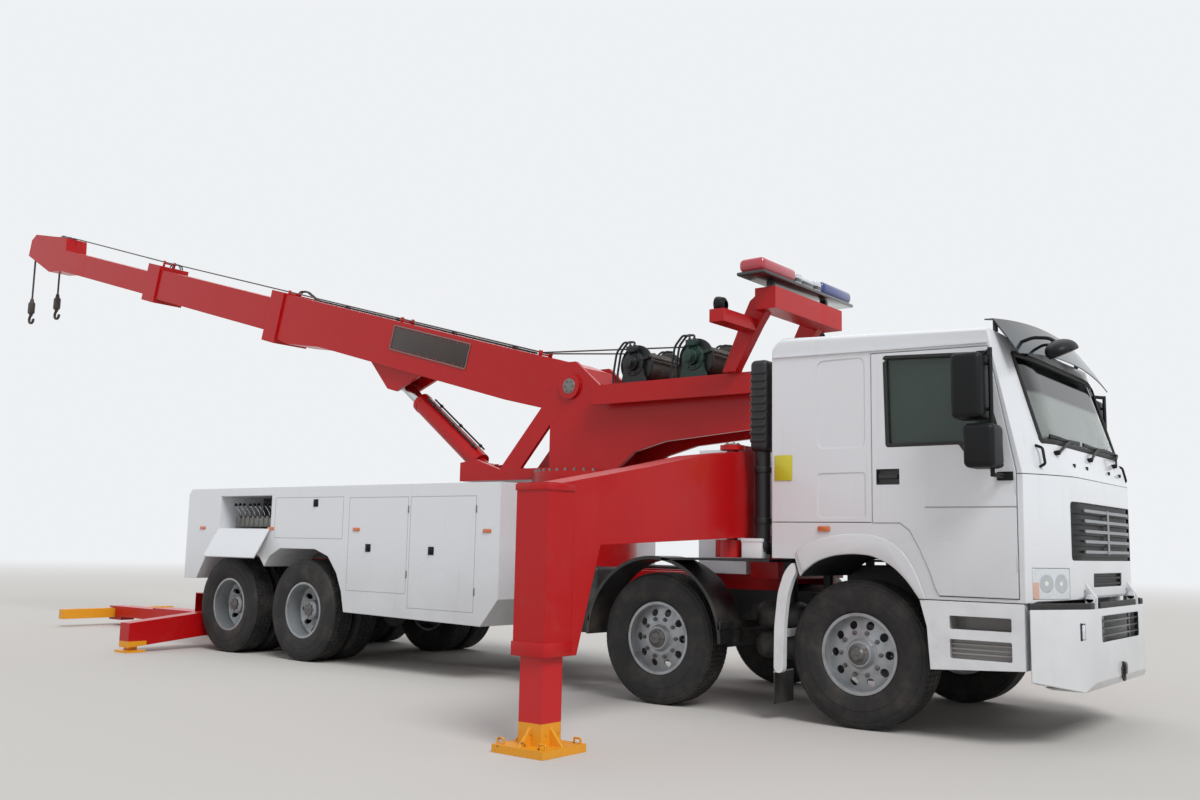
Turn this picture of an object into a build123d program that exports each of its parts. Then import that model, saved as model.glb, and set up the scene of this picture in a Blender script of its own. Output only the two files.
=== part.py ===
"""Heavy recovery truck: an 8x4 cab chassis with a slewing telescopic boom, two deck winches,
swing-out front outriggers, slanted rear outriggers and an underlift.

Lengths are in millimetres. X points forward from the front axle, Y to the left side, Z up from
the ground. Pieces are drawn in these chassis coordinates, as on a bodybuilder's drawing, and
save() writes them with the origin under the middle of the whole machine.
"""

import os
from math import atan, cos, hypot, radians, sin, tan

from build123d import *

os.makedirs("parts", exist_ok=True)

# Wheels and axles
AXLE_X = {"front": 0, "second": -1800, "third": -6400, "fourth": -7750}
TYRE_R = 538
TYRE_W = 300
BEAD_R = 286
RIM_LIP_R = 298
RIM_HALF_W = 122
RIM_WALL = 12
SEAT_GAP = 0.3
PIN_GAP = 0.5
STEER_TRACK_Y = 1025
TWIN_OUTER_Y = 1090
TWIN_SPACING = 340
KINGPIN_Y = 830
KINGPIN_R = 26
HUB_R = 112
DRUM_R = 205
HAND_HOLE_R = 31
HAND_HOLE_RING_R = 214
HAND_HOLES = 10
DRUM_DEPTH = 110
DRUM_FACE_Y = TWIN_OUTER_Y - TWIN_SPACING - DRUM_DEPTH - PIN_GAP

# Widths shared by cab, body and chassis
HALF_W = 1248
RAIL_OUT_Y = 430
RAIL_FLANGE = 85
RAIL_WALL = 10
RAIL_BOTTOM_Z = 640
RAIL_TOP_Z = 940

# Cab
CAB_REAR_X = -665
CAB_FRONT_X = 1445
CAB_WALL = 60
CAB_REAR_Z = 1220
CAB_REST_Z = CAB_REAR_Z - SEAT_GAP
CAB_SILL_Z = 962
ROOF_REAR_Z = 2934
ROOF_FRONT_Z = 2854
ROOF_FRONT_X = 1052
SCREEN_TOP = (1152, 2700)
SCREEN_FOOT = (1345, 2050)
SCREEN_HALF_W = 1130
HOOD_Z = 1827
TILT_PIN = (1480, 990)
TILT_PIN_R = 18
TILT_BOSS_R = 30
TILT_LUG_Y = (545, 595)
DOOR_HINGE_ZS = (1180, 1700)
DOOR_BARREL_R = 4
DOOR_REAR_X = 160
DOOR_TOP_Z = 2740
DOOR_HINGE_X = 1205
DOOR_GAP = 6
GLASS_T = 6
GRILLE_HALF_W = 700
GRILLE_LOW_Z = 1235
GRILLE_TOP_Z = 1668
FLOOR_Z = 1260
LAMP_REAR_X = 1300
LAMP_FRONT_X = 1480
LAMP_LOW_Z = 985
LAMP_TOP_Z = 1205
DASH_HALF_W = HALF_W - CAB_WALL - SEAT_GAP

# Bumper
BUMPER_LOW_Z = 370
BUMPER_TOP_Z = 950
BUMPER_FRONT_X = 1530
BUMPER_REAR_X = 1285
HOOK_REACH = 30

# Rear body
BODY_FRONT_X = -3520
BODY_REAR_X = -8625
BODY_TOP_Z = 1860
BODY_LOW_Z = 555
BODY_DEPTH = 600
BODY_WALL = 20
ARCH_TOP_Z = 1190
FLAP_REAR_X = -7965
FLAP_FRONT_X = -6995
FLAP_LOW_Z = 1400
FLAP_TOP_Z = 1770
FLAP_T = 16
FLAP_OFF = 14
FLAP_ROD_R = 9

# Slewing tower
SLEW_X = -3500
RING_R = 560
RING_LOW_Z = 1872
TURRET_LOW_Z = 1945
TURRET_GAP = 0.5
MAST_PLATE_IN = 256
MAST_PLATE_T = 40
DECK_HALF_W = 450
DECK_TOP_Z = 2830
DECK_FLANGE_H = 190
DECK_FRONT_X = -1210
PIVOT_X = -3500
PIVOT_Z = 2870
PIVOT_R = 60
CYL_FOOT_X = -4900
CYL_FOOT_Z = 2085

# Boom, along s from its pivot and h square to it
BOOM_ANGLE = 15.2
BASE_HALF_W = 235
BASE_LOW_H = -315
BASE_TOP_H = 225
BASE_WALL = 14
BASE_END_S = 5360
BASE_BORE_S = 1600
MID_HALF_W = 205
MID_LOW_H = -293
MID_TOP_H = 137
MID_WALL = 12
MID_INNER_S = 4500
MID_END_S = 8560
TIP_HALF_W = 172
TIP_LOW_H = -272
TIP_TOP_H = 72
TIP_WALL = 10
TIP_INNER_S = 7700
TIP_END_S = 11290
HEAD_END_S = 12556
HEAD_NOSE_H = -171
HEAD_HEEL_S = 11723
HEAD_HEEL_H = -341
ROPE_R = 16
EYE_S = 2755
EYE_H = -482
EYE_R = 78
CHEEK_GAP = 122
CHEEK_T = 40
BARREL_R = 112
ROD_R = 68
ROD_SHOWN = 300
FOOT_LUG_GAP = 75

# Front outriggers
ARM_X = -1080
ARM_HALF_W = 125
ARM_PIN_Y = 1150
ARM_PIN_R = 45
LEG_Y = 3445
LEG_TUBE_HALF = 130
LEG_TUBE_WALL = 15
LEG_HALF = 95
LEG_TUBE_LOW_Z = 590
LEG_TUBE_TOP_Z = 1680
LEG_MOUTH_H = 60
PAD_HALF = 210
PAD_T = 50
PAD_RIB_Z = 160

# Rear outriggers and underlift
REAR_LEG_X = {"right": -8415, "left": -8640}
REAR_LEG_SLOPE = 0.0963
REAR_BEAM_HALF = 95
REAR_BEAM_H = 270
REAR_END_Y = 2080
REAR_END_Z = 325
REAR_INNER_Y = 450
REAR_FOOT_Y = 1995
HOUSING_Y = 1000
HOUSING_LOW_Z = 135
SKID_Y = 900
HOUSING_TOP_Z = 625
TAIL_X = -8780
FOLD_PIN = (-8900, 960)
FOLD_PIN_R = 35
FOLD_BOSS_R = 85
KNEE_X = -9250
LIFT_HALF_W = 150
LIFT_LOW_Z = 110
LIFT_TOP_Z = 300
LIFT_WALL = 14
LIFT_OUTER_END_X = -11100
LIFT_INNER_END_X = -12120
LIFT_INNER_START_X = -10150
CROSS_X = -12265
CROSS_HALF_X = 62
CROSS_HALF_W = 850
CROSS_LOW_Z = 112
CROSS_TOP_Z = 245
CROSS_PIN_R = 30
FORK_HOLE_Y = 600
FORK_HOLE_R = 32

BOOM_COS = cos(radians(BOOM_ANGLE))
BOOM_SIN = sin(radians(BOOM_ANGLE))
TIP_REACH_X = PIVOT_X - HEAD_END_S * BOOM_COS + HEAD_NOSE_H * BOOM_SIN
FRONT_REACH_X = BUMPER_FRONT_X + HOOK_REACH
TO_ROW = Location((-(TIP_REACH_X + FRONT_REACH_X) / 2, 0, 0))
BOOM_PLANE = Plane(
    origin=(PIVOT_X, 0, PIVOT_Z), x_dir=(-BOOM_COS, 0, BOOM_SIN), z_dir=(0, 1, 0)
)
SIDES = {"right": -1, "left": 1}


def save(piece, name):
    """Label a finished piece and write it in the machine's own frame."""
    moved = piece.moved(TO_ROW)
    moved.label = name
    export_step(moved, f"parts/{name}.step")


def block(x, y, z, mode=Mode.ADD):
    """Straight box between pairs of limits along X, Y and Z."""
    middle = [(pair[0] + pair[1]) / 2 for pair in (x, y, z)]
    with Locations(tuple(middle)):
        Box(x[1] - x[0], y[1] - y[0], z[1] - z[0], mode=mode)


def across(points, y_from, y_to, mode=Mode.ADD):
    """Side outline of (x, z) points, carried across the machine between two Y values."""
    with BuildSketch(Plane.XZ.offset(-y_from)) as outline:
        with BuildLine():
            Polyline(*points, close=True)
        make_face()
    extrude(outline.sketch, amount=y_from - y_to, mode=mode)


def upright(points, z_from, z_to, mode=Mode.ADD):
    """Plan outline of (x, y) points, raised between two heights."""
    with BuildSketch(Plane.XY.offset(z_from)) as outline:
        with BuildLine():
            Polyline(*points, close=True)
        make_face()
    extrude(outline.sketch, amount=z_to - z_from, mode=mode)


def lengthwise(points, x_from, x_to, mode=Mode.ADD):
    """End outline of (y, z) points, carried along the machine between two X values."""
    with BuildSketch(Plane.YZ.offset(x_from)) as outline:
        with BuildLine():
            Polyline(*points, close=True)
        make_face()
    extrude(outline.sketch, amount=x_to - x_from, mode=mode)


def along_boom(points, half_w, mode=Mode.ADD, offset=0):
    """Outline of (s, h) points on the boom, half_w to each side of the line y = offset."""
    with BuildSketch(BOOM_PLANE.offset(offset)) as outline:
        with BuildLine():
            Polyline(*points, close=True)
        make_face()
    extrude(outline.sketch, amount=half_w, both=True, mode=mode)


def bar(start, end, radius, mode=Mode.ADD):
    """Round bar from one point to another."""
    start, end = Vector(*start), Vector(*end)
    plane = Plane(origin=start, z_dir=(end - start).normalized())
    with Locations(plane.location):
        Cylinder(
            radius,
            (end - start).length,
            align=(Align.CENTER, Align.CENTER, Align.MIN),
            mode=mode,
        )


def boom_point(s, h, y=0):
    """Chassis coordinates of a point given on the boom."""
    return (PIVOT_X - s * BOOM_COS + h * BOOM_SIN, y, PIVOT_Z + s * BOOM_SIN + h * BOOM_COS)


def ring(section, x, y, z):
    """Solid of revolution about the crosswise line through (x, z), from (axial, radial) points."""
    plane = Plane(origin=(x, y, z), x_dir=(0, 1, 0), z_dir=(1, 0, 0))
    with BuildSketch(plane) as outline:
        with BuildLine():
            Polyline(*section, close=True)
        make_face()
    revolve(outline.sketch, axis=Axis((x, y, z), (0, 1, 0)))


def tyre_section(middle):
    """Half-round tyre section, mirrored about its middle."""
    half = TYRE_W / 2
    rise = TYRE_R - BEAD_R
    side = [
        (half - 35, BEAD_R),
        (half - 35, RIM_LIP_R + 3),
        (half - 6, BEAD_R + 0.3 * rise),
        (half, BEAD_R + 0.5 * rise),
        (half - 8, BEAD_R + 0.82 * rise),
        (half - 34, TYRE_R - 6),
        (half - 60, TYRE_R),
    ]
    far = [(-a, r) for a, r in reversed(side)]
    return [(middle + a, r) for a, r in side + far]


def rim_section(middle, out):
    """Rim barrel with its two lips; out is +1 or -1 towards the outside of the truck."""
    seat = BEAD_R - SEAT_GAP
    points = [
        (-RIM_HALF_W, RIM_LIP_R),
        (-RIM_HALF_W, seat - RIM_WALL),
        (RIM_HALF_W, seat - RIM_WALL),
        (RIM_HALF_W, RIM_LIP_R),
        (TYRE_W / 2 - 35 + SEAT_GAP, RIM_LIP_R),
        (TYRE_W / 2 - 35 + SEAT_GAP, seat),
        (-TYRE_W / 2 + 35 - SEAT_GAP, seat),
        (-TYRE_W / 2 + 35 - SEAT_GAP, RIM_LIP_R),
    ]
    return [(middle + out * a, r) for a, r in points]


# Steered wheels and their knuckles, one to a corner
STEERED = [(axle, side) for axle in ("front", "second") for side in SIDES]
DRIVEN = [(axle, side) for axle in ("third", "fourth") for side in SIDES]

for axle, side in STEERED:
    out = SIDES[side]
    x = AXLE_X[axle]
    y = out * STEER_TRACK_Y
    with BuildPart() as tyre:
        ring(tyre_section(0), x, y, TYRE_R)
    save(tyre.part, f"tyre_{axle}_{side}")

    with BuildPart() as rim:
        ring(rim_section(0, out), x, y, TYRE_R)
        seat = BEAD_R - SEAT_GAP - RIM_WALL
        disc = [
            (48, seat + 2),
            (84, HUB_R + 26),
            (84, HUB_R),
            (125, HUB_R - 20),
            (125, 30),
            (-80, 30),
            (-80, DRUM_R - 14),
            (-150, DRUM_R - 14),
            (-150, DRUM_R),
            (-66, DRUM_R),
            (-66, HUB_R),
            (66, HUB_R),
            (66, HUB_R + 26),
            (32, seat + 2),
        ]
        section = [(out * a, r) for a, r in disc]
        ring(section, x, y, TYRE_R)
        with BuildSketch(
            Plane(origin=(x, y, TYRE_R), x_dir=(1, 0, 0), z_dir=(0, out, 0))
        ) as holes:
            with PolarLocations(HAND_HOLE_RING_R, HAND_HOLES):
                Circle(HAND_HOLE_R)
        extrude(holes.sketch, amount=RIM_HALF_W, mode=Mode.SUBTRACT)
    save(rim.part, f"rim_{axle}_{side}")

    pin_y = out * KINGPIN_Y
    with BuildPart() as knuckle:
        bar((x, pin_y, TYRE_R - 150), (x, pin_y, TYRE_R + 150), KINGPIN_R)
        for low in (-150, 105):
            block(
                (x - 60, x + 60),
                sorted((pin_y - out * 45, pin_y + out * 95)),
                (TYRE_R + low, TYRE_R + low + 45),
            )
        block(
            (x - 60, x + 60), sorted((pin_y + out * 62, pin_y + out * 95)), (TYRE_R - 150, TYRE_R + 150)
        )
        bar((x, pin_y + out * 90, TYRE_R), (x, y + out * 100, TYRE_R), 30 - PIN_GAP)
    save(knuckle.part, f"knuckle_{axle}_{side}")

for axle, side in DRIVEN:
    out = SIDES[side]
    x = AXLE_X[axle]
    y = out * TWIN_OUTER_Y
    with BuildPart() as tyre:
        for middle in (0, -out * TWIN_SPACING):
            ring(tyre_section(middle), x, y, TYRE_R)
    save(tyre.part, f"tyre_{axle}_{side}")

    with BuildPart() as rim:
        ring(rim_section(0, out), x, y, TYRE_R)
        ring(rim_section(-out * TWIN_SPACING, out), x, y, TYRE_R)
        seat = BEAD_R - SEAT_GAP - RIM_WALL
        inner = -TWIN_SPACING
        disc = [
            (-60, seat + 2),
            (-150, HUB_R + 60),
            (-150, HUB_R),
            (20, HUB_R - 8),
            (40, HUB_R - 30),
            (40, 0),
            (inner - DRUM_DEPTH, 0),
            (inner - DRUM_DEPTH, DRUM_R),
            (inner + 20, DRUM_R),
            (inner + 135, HUB_R + 50),
            (inner + 60, seat + 2),
            (inner + 90, seat + 2),
            (inner + 162, HUB_R + 62),
            (-162, HUB_R + 62),
            (-88, seat + 2),
        ]
        section = [(out * a, r) for a, r in disc]
        ring(section, x, y, TYRE_R)
        with BuildSketch(
            Plane(
                origin=(x, y - out * 150, TYRE_R), x_dir=(1, 0, 0), z_dir=(0, out, 0)
            )
        ) as holes:
            with PolarLocations(HAND_HOLE_RING_R + 14, HAND_HOLES):
                Circle(HAND_HOLE_R)
        extrude(holes.sketch, amount=120, mode=Mode.SUBTRACT)
    save(rim.part, f"rim_{axle}_{side}")

# Ladder frame: two channel rails and tubular cross members
with BuildPart() as chassis_frame:
    for out in (-1, 1):
        web = out * RAIL_OUT_Y
        block(
            (-8500, 1250), sorted((web, web - out * RAIL_WALL)), (RAIL_BOTTOM_Z, RAIL_TOP_Z)
        )
        for low in (RAIL_BOTTOM_Z, RAIL_TOP_Z - RAIL_WALL):
            block((-8500, 1250), sorted((web, web - out * RAIL_FLANGE)), (low, low + RAIL_WALL))
    for x in (1150, -1950, -2900, -4100, -5500, -7075, -8350):
        bar((x, -RAIL_OUT_Y + RAIL_WALL, 790), (x, RAIL_OUT_Y - RAIL_WALL, 790), 55)
    for out in (-1, 1):
        block((CAB_REAR_X + 20, CAB_REAR_X + 80), sorted((out * 375, out * RAIL_OUT_Y)), (RAIL_TOP_Z - 1, CAB_REST_Z))
save(chassis_frame.part, "chassis_frame")

# Axle beams with their leaf springs, and the two drive axles with bowl housings
with BuildPart() as axles:
    for name in ("front", "second"):
        x = AXLE_X[name]
        lengthwise(
            [
                (-KINGPIN_Y, TYRE_R - 100), (-KINGPIN_Y, TYRE_R + 100), (-660, TYRE_R + 40),
                (-480, TYRE_R - 40), (480, TYRE_R - 40), (660, TYRE_R + 40),
                (KINGPIN_Y, TYRE_R + 100), (KINGPIN_Y, TYRE_R - 100), (700, TYRE_R - 60),
                (500, TYRE_R - 130), (-500, TYRE_R - 130), (-700, TYRE_R - 60),
            ],
            x - 45,
            x + 45,
        )
        for out in (-1, 1):
            pin_y = out * KINGPIN_Y
            bar((x, pin_y, TYRE_R - 100), (x, pin_y, TYRE_R + 100), 55)
            bar((x, pin_y, TYRE_R - 101), (x, pin_y, TYRE_R + 101), KINGPIN_R + PIN_GAP, Mode.SUBTRACT)
            across(
                [
                    (x - 720, RAIL_BOTTOM_Z - SEAT_GAP), (x - 800, RAIL_BOTTOM_Z - SEAT_GAP), (x - 780, RAIL_BOTTOM_Z - 30),
                    (x - 80, TYRE_R - 45), (x + 80, TYRE_R - 45), (x + 780, RAIL_BOTTOM_Z - 30),
                    (x + 800, RAIL_BOTTOM_Z - SEAT_GAP), (x + 720, RAIL_BOTTOM_Z - SEAT_GAP),
                    (x + 80, TYRE_R + 30), (x - 80, TYRE_R + 30),
                ],
                out * 345,
                out * 425,
            )
    for name in ("third", "fourth"):
        x = AXLE_X[name]
        bar((x, -DRUM_FACE_Y, TYRE_R), (x, DRUM_FACE_Y, TYRE_R), 85)
        bar((x - 130, 0, TYRE_R), (x + 130, 0, TYRE_R), 215)
        bar((x + 120, 0, TYRE_R + 20), (x + 260, 0, TYRE_R + 20), 90)
    for out in (-1, 1):
        middle = (AXLE_X["third"] + AXLE_X["fourth"]) / 2
        across(
            [
                (AXLE_X["fourth"], TYRE_R + 80), (AXLE_X["fourth"], TYRE_R + 130),
                (middle, RAIL_TOP_Z - 110), (AXLE_X["third"], TYRE_R + 130),
                (AXLE_X["third"], TYRE_R + 80), (middle, RAIL_BOTTOM_Z + 10),
            ],
            out * (RAIL_OUT_Y + SEAT_GAP),
            out * (RAIL_OUT_Y + 90),
        )
save(axles.part, "axles")

# Engine and gearbox as one closed block between the rails
with BuildPart() as engine_block:
    block((-480, 380), (-330, 330), (560, 1170))
    bar((-480, 0, 800), (-1250, 0, 800), 190)
    bar((-1250, 0, 780), (-1700, 0, 760), 60)
    for out in (-1, 1):
        for x in (-420, 250):
            block((x - 45, x + 45), sorted((out * 329, out * (RAIL_OUT_Y - RAIL_WALL - SEAT_GAP))), (700, 780))
save(engine_block.part, "engine_block")

# Cab: one hollow shell, with the door, window and wheel openings cut through it
CAB_OUTLINE = [
    (CAB_REAR_X, CAB_REAR_Z),
    (CAB_REAR_X, ROOF_REAR_Z - 60),
    (CAB_REAR_X + 60, ROOF_REAR_Z),
    (ROOF_FRONT_X, ROOF_FRONT_Z),
    SCREEN_TOP,
    SCREEN_FOOT,
    (CAB_FRONT_X, HOOD_Z),
    (CAB_FRONT_X + 15, 1500),
    (CAB_FRONT_X, 1080),
    (1290, 1040),
    (1270, CAB_SILL_Z),
    (655, CAB_SILL_Z),
    (618, 1000),
    (560, 1090),
    (400, 1240),
    (200, 1335),
    (-14, 1366),
    (-240, 1325),
    (-467, CAB_REAR_Z),
]
CAB_CAVITY = [
    (CAB_REAR_X + CAB_WALL, FLOOR_Z + 130),
    (CAB_REAR_X + CAB_WALL, ROOF_REAR_Z - 110),
    (CAB_REAR_X + 110, ROOF_REAR_Z - CAB_WALL),
    (ROOF_FRONT_X - 30, ROOF_FRONT_Z - CAB_WALL),
    (SCREEN_TOP[0] - 66, SCREEN_TOP[1] - 20),
    (SCREEN_FOOT[0] - 66, SCREEN_FOOT[1] - 20),
    (CAB_FRONT_X - CAB_WALL, HOOD_Z - 20),
    (CAB_FRONT_X - CAB_WALL, 1270),
    (1230, 1230),
    (1230, CAB_SILL_Z + CAB_WALL),
    (740, CAB_SILL_Z + CAB_WALL),
    (560, FLOOR_Z + 130),
]
DOOR_OUTLINE = [
    (DOOR_REAR_X, 1430),
    (DOOR_REAR_X, DOOR_TOP_Z),
    (1030, DOOR_TOP_Z - 20),
    (DOOR_HINGE_X, 2010),
    (DOOR_HINGE_X, 1000),
    (690, 1000),
    (640, 1060),
    (560, 1170),
    (400, 1310),
    (260, 1385),
]
WINDOW_OUTLINE = [(285, 2050), (270, 2700), (940, 2670), (1105, 2040), (1112, 1880), (940, 1880), (820, 2050)]

with BuildPart() as cab_shell:
    across(CAB_OUTLINE, -HALF_W, HALF_W)
    fillet(cab_shell.edges().filter_by(Axis.Z).group_by(Axis.X)[-1], radius=90)
    across(CAB_CAVITY, -HALF_W + CAB_WALL, HALF_W - CAB_WALL, Mode.SUBTRACT)
    for out in (-1, 1):
        across(DOOR_OUTLINE, out * (HALF_W - CAB_WALL - 1), out * (HALF_W + 1), Mode.SUBTRACT)
    block((735, 1235), (-400, 400), (CAB_SILL_Z, FLOOR_Z + 130))
    block((CAB_REAR_X - 1, 1190), (-370, 370), (CAB_SILL_Z - 1, 1300), Mode.SUBTRACT)
    for out in (-1, 1):
        block(
            (LAMP_REAR_X, CAB_FRONT_X + 20), sorted((out * 990, out * (HALF_W + 1))), (CAB_SILL_Z - 1, LAMP_TOP_Z), Mode.SUBTRACT
        )
    block(
        (SCREEN_TOP[0] - 90, CAB_FRONT_X + 20),
        (-SCREEN_HALF_W, SCREEN_HALF_W),
        (SCREEN_FOOT[1] + 25, SCREEN_TOP[1] - 15),
        Mode.SUBTRACT,
    )
    block(
        (CAB_FRONT_X - 40, CAB_FRONT_X + 30),
        (-GRILLE_HALF_W, GRILLE_HALF_W),
        (GRILLE_LOW_Z, GRILLE_TOP_Z),
        Mode.SUBTRACT,
    )
    pin_x, pin_z = TILT_PIN
    for out in (-1, 1):
        lug_y = [out * y for y in TILT_LUG_Y]
        across(
            [
                (pin_x - TILT_BOSS_R, pin_z), (pin_x + TILT_BOSS_R, pin_z), (pin_x + TILT_BOSS_R, pin_z + 12),
                (CAB_FRONT_X - 5, 1120), (CAB_FRONT_X - 80, 1120), (CAB_FRONT_X - 80, 1060),
            ],
            *lug_y,
        )
        bar((pin_x, lug_y[0], pin_z), (pin_x, lug_y[1], pin_z), TILT_BOSS_R)
        bar((pin_x, lug_y[0] - out, pin_z), (pin_x, lug_y[1] + out, pin_z), TILT_PIN_R + PIN_GAP, Mode.SUBTRACT)
        for z in DOOR_HINGE_ZS:
            x, y = DOOR_HINGE_X - DOOR_GAP, out * HALF_W
            bar((x, y, z), (x, y, z + 90), DOOR_BARREL_R)
            block((x, x + 9), sorted((y - out * 3, y + out * DOOR_BARREL_R)), (z, z + 90))
save(cab_shell.part, "cab_shell")

# Windscreen, laid in its opening
SCREEN_SLOPE = (SCREEN_FOOT[0] - SCREEN_TOP[0]) / (SCREEN_TOP[1] - SCREEN_FOOT[1])


def screen_x(z, inset):
    """Place on the windscreen's slope at height z, inset from its outer face."""
    return SCREEN_TOP[0] + (SCREEN_TOP[1] - z) * SCREEN_SLOPE - inset


with BuildPart() as cab_glass:
    low, high = SCREEN_FOOT[1] + 25 + SEAT_GAP, SCREEN_TOP[1] - 15 - SEAT_GAP
    across(
        [
            (screen_x(low, 8), low),
            (screen_x(low, 8 + GLASS_T), low),
            (screen_x(high, 8 + GLASS_T), high),
            (screen_x(high, 8), high),
        ],
        -SCREEN_HALF_W + SEAT_GAP,
        SCREEN_HALF_W - SEAT_GAP,
    )
save(cab_glass.part, "cab_glass")

# Seats, dashboard and steering wheel, seen through the glass
with BuildPart() as cab_interior:
    across(
        [(1000, 1500), (1000, 1900), (1120, 1950), (1250, 1930), (1320, 1800), (1320, 1400)], -DASH_HALF_W, DASH_HALF_W
    )
    block((-200, 900), (-330, 330), (FLOOR_Z + 130.3, FLOOR_Z + 260))
    for out in (-1, 1):
        block((60, 560), (out * 660 - 250, out * 660 + 250), (FLOOR_Z + 130.3, 1700))
        across([(60, 1700), (-60, 2400), (80, 2420), (190, 1700)], out * 660 - 240, out * 660 + 240)
    bar((1000, 660, 1850), (860, 660, 1930), 30)
    with Locations(Plane(origin=(860, 660, 1930), z_dir=(-0.87, 0, 0.5)).location):
        Torus(215, 16)
        Box(420, 40, 14)
save(cab_interior.part, "cab_interior")

# Slatted radiator grille, set in the front panel
with BuildPart() as grille:
    block(
        (CAB_FRONT_X - 39.7, CAB_FRONT_X - 20),
        (-GRILLE_HALF_W + 1, GRILLE_HALF_W - 1),
        (GRILLE_LOW_Z + 1, GRILLE_TOP_Z - 1),
    )
    SLATS = 5
    pitch = (GRILLE_TOP_Z - GRILLE_LOW_Z - 2) / SLATS
    for i in range(SLATS):
        low = GRILLE_LOW_Z + 1 + i * pitch
        across(
            [
                (CAB_FRONT_X - 21, low + 6),
                (CAB_FRONT_X + 14, low + 6),
                (CAB_FRONT_X + 20, low + 20),
                (CAB_FRONT_X - 21, low + 50),
            ],
            -GRILLE_HALF_W + 1,
            GRILLE_HALF_W - 1,
        )
save(grille.part, "grille")

# Smoked sun visor over the windscreen, on its brackets
with BuildPart() as sun_visor:
    across(
        [
            (ROOF_FRONT_X - 30, ROOF_FRONT_Z + 80),
            (ROOF_FRONT_X + 20, ROOF_FRONT_Z + 75),
            (1240, 2670),
            (1228, 2664),
            (ROOF_FRONT_X + 10, ROOF_FRONT_Z + 65),
            (ROOF_FRONT_X - 30, ROOF_FRONT_Z + 68),
        ],
        -1150,
        1150,
    )
    for y in (-1000, -350, 350, 1000):
        across(
            [
                (ROOF_FRONT_X - 30, ROOF_FRONT_Z + 75),
                (ROOF_FRONT_X, ROOF_FRONT_Z + 70),
                (ROOF_FRONT_X, ROOF_FRONT_Z + 0.3),
                (ROOF_FRONT_X - 30, ROOF_FRONT_Z + 3),
            ],
            y - 20,
            y + 20,
        )
save(sun_visor.part, "sun_visor")

# Doors: one hollow-framed panel each, its glass, and its pair of mirrors on two arms
for side, out in SIDES.items():
    inner, outer = out * (HALF_W - CAB_WALL), out * HALF_W
    with BuildPart() as door:
        with BuildSketch(Plane.XZ.offset(-inner)) as outline:
            with BuildLine():
                Polyline(*DOOR_OUTLINE, close=True)
            make_face()
            offset(amount=-DOOR_GAP, kind=Kind.INTERSECTION)
        extrude(outline.sketch, amount=inner - outer)
        across(WINDOW_OUTLINE, inner - out, outer + out, Mode.SUBTRACT)
        block((200, 290), sorted((outer - out, outer + out * 28)), (1700, 1745))
        for z in DOOR_HINGE_ZS:
            x = DOOR_HINGE_X - DOOR_GAP
            bar((x, outer, z - 2), (x, outer, z + 92), DOOR_BARREL_R + PIN_GAP, Mode.SUBTRACT)
    save(door.part, f"door_{side}")

    with BuildPart() as door_glass:
        with BuildSketch(Plane.XZ.offset(-(inner + out * 30))) as outline:
            with BuildLine():
                Polyline(*WINDOW_OUTLINE, close=True)
            make_face()
            offset(amount=-SEAT_GAP, kind=Kind.INTERSECTION)
        extrude(outline.sketch, amount=-out * GLASS_T)
    save(door_glass.part, f"door_glass_{side}")

    with BuildPart() as mirror:
        for low, high, x0, x1 in ((2190, 2630, 850, 1110), (1860, 2140, 910, 1190)):
            block((x0, x1), sorted((out * 1390, out * 1500)), (low, high))
        block((1000, 1040), sorted((out * 1420, out * 1460)), (2130, 2200))
        for z in (2610, 1880):
            block((1000, 1040), sorted((out * (HALF_W + SEAT_GAP), out * 1400)), (z - 18, z + 18))
    save(mirror.part, f"mirror_{side}")

# Steel front bumper with its grille opening and tow hook
with BuildPart() as bumper:
    across(
        [
            (BUMPER_REAR_X, BUMPER_TOP_Z - 70),
            (BUMPER_REAR_X + 30, BUMPER_LOW_Z),
            (BUMPER_FRONT_X - 40, BUMPER_LOW_Z),
            (BUMPER_FRONT_X, BUMPER_LOW_Z + 60),
            (BUMPER_FRONT_X, BUMPER_TOP_Z),
            (BUMPER_REAR_X, BUMPER_TOP_Z),
        ],
        -HALF_W,
        HALF_W,
    )
    fillet(bumper.edges().filter_by(Axis.Z).group_by(Axis.X)[-1], radius=70)
    across(
        [
            (BUMPER_REAR_X - 1, BUMPER_LOW_Z + 30),
            (BUMPER_FRONT_X - 60, BUMPER_LOW_Z + 30),
            (BUMPER_FRONT_X - 30, BUMPER_LOW_Z + 90),
            (BUMPER_FRONT_X - 30, BUMPER_TOP_Z - 30),
            (BUMPER_REAR_X - 1, BUMPER_TOP_Z - 30),
        ],
        -HALF_W + 30,
        HALF_W - 30,
        Mode.SUBTRACT,
    )
    block((BUMPER_FRONT_X - 31, BUMPER_FRONT_X + 1), (-600, 600), (677, 870), Mode.SUBTRACT)
    for y in (-380, 380):
        block((1250.3, BUMPER_FRONT_X - 29), (y - 40, y + 40), (660, 920))
    block((BUMPER_FRONT_X - 31, BUMPER_FRONT_X + HOOK_REACH), (-30, 30), (430, 530))
    pin_x, pin_z = TILT_PIN
    for out in (-1, 1):
        for y in (TILT_LUG_Y[0] - 25, TILT_LUG_Y[1] + 5):
            block((pin_x - TILT_BOSS_R, pin_x + TILT_BOSS_R), sorted((out * y, out * (y + 20))), (BUMPER_TOP_Z - 1, pin_z))
            bar((pin_x, out * y, pin_z), (pin_x, out * (y + 20), pin_z), TILT_BOSS_R)
        bar((pin_x, out * (TILT_LUG_Y[0] - 6), pin_z), (pin_x, out * (TILT_LUG_Y[1] + 6), pin_z), TILT_PIN_R)
save(bumper.part, "bumper")

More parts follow.
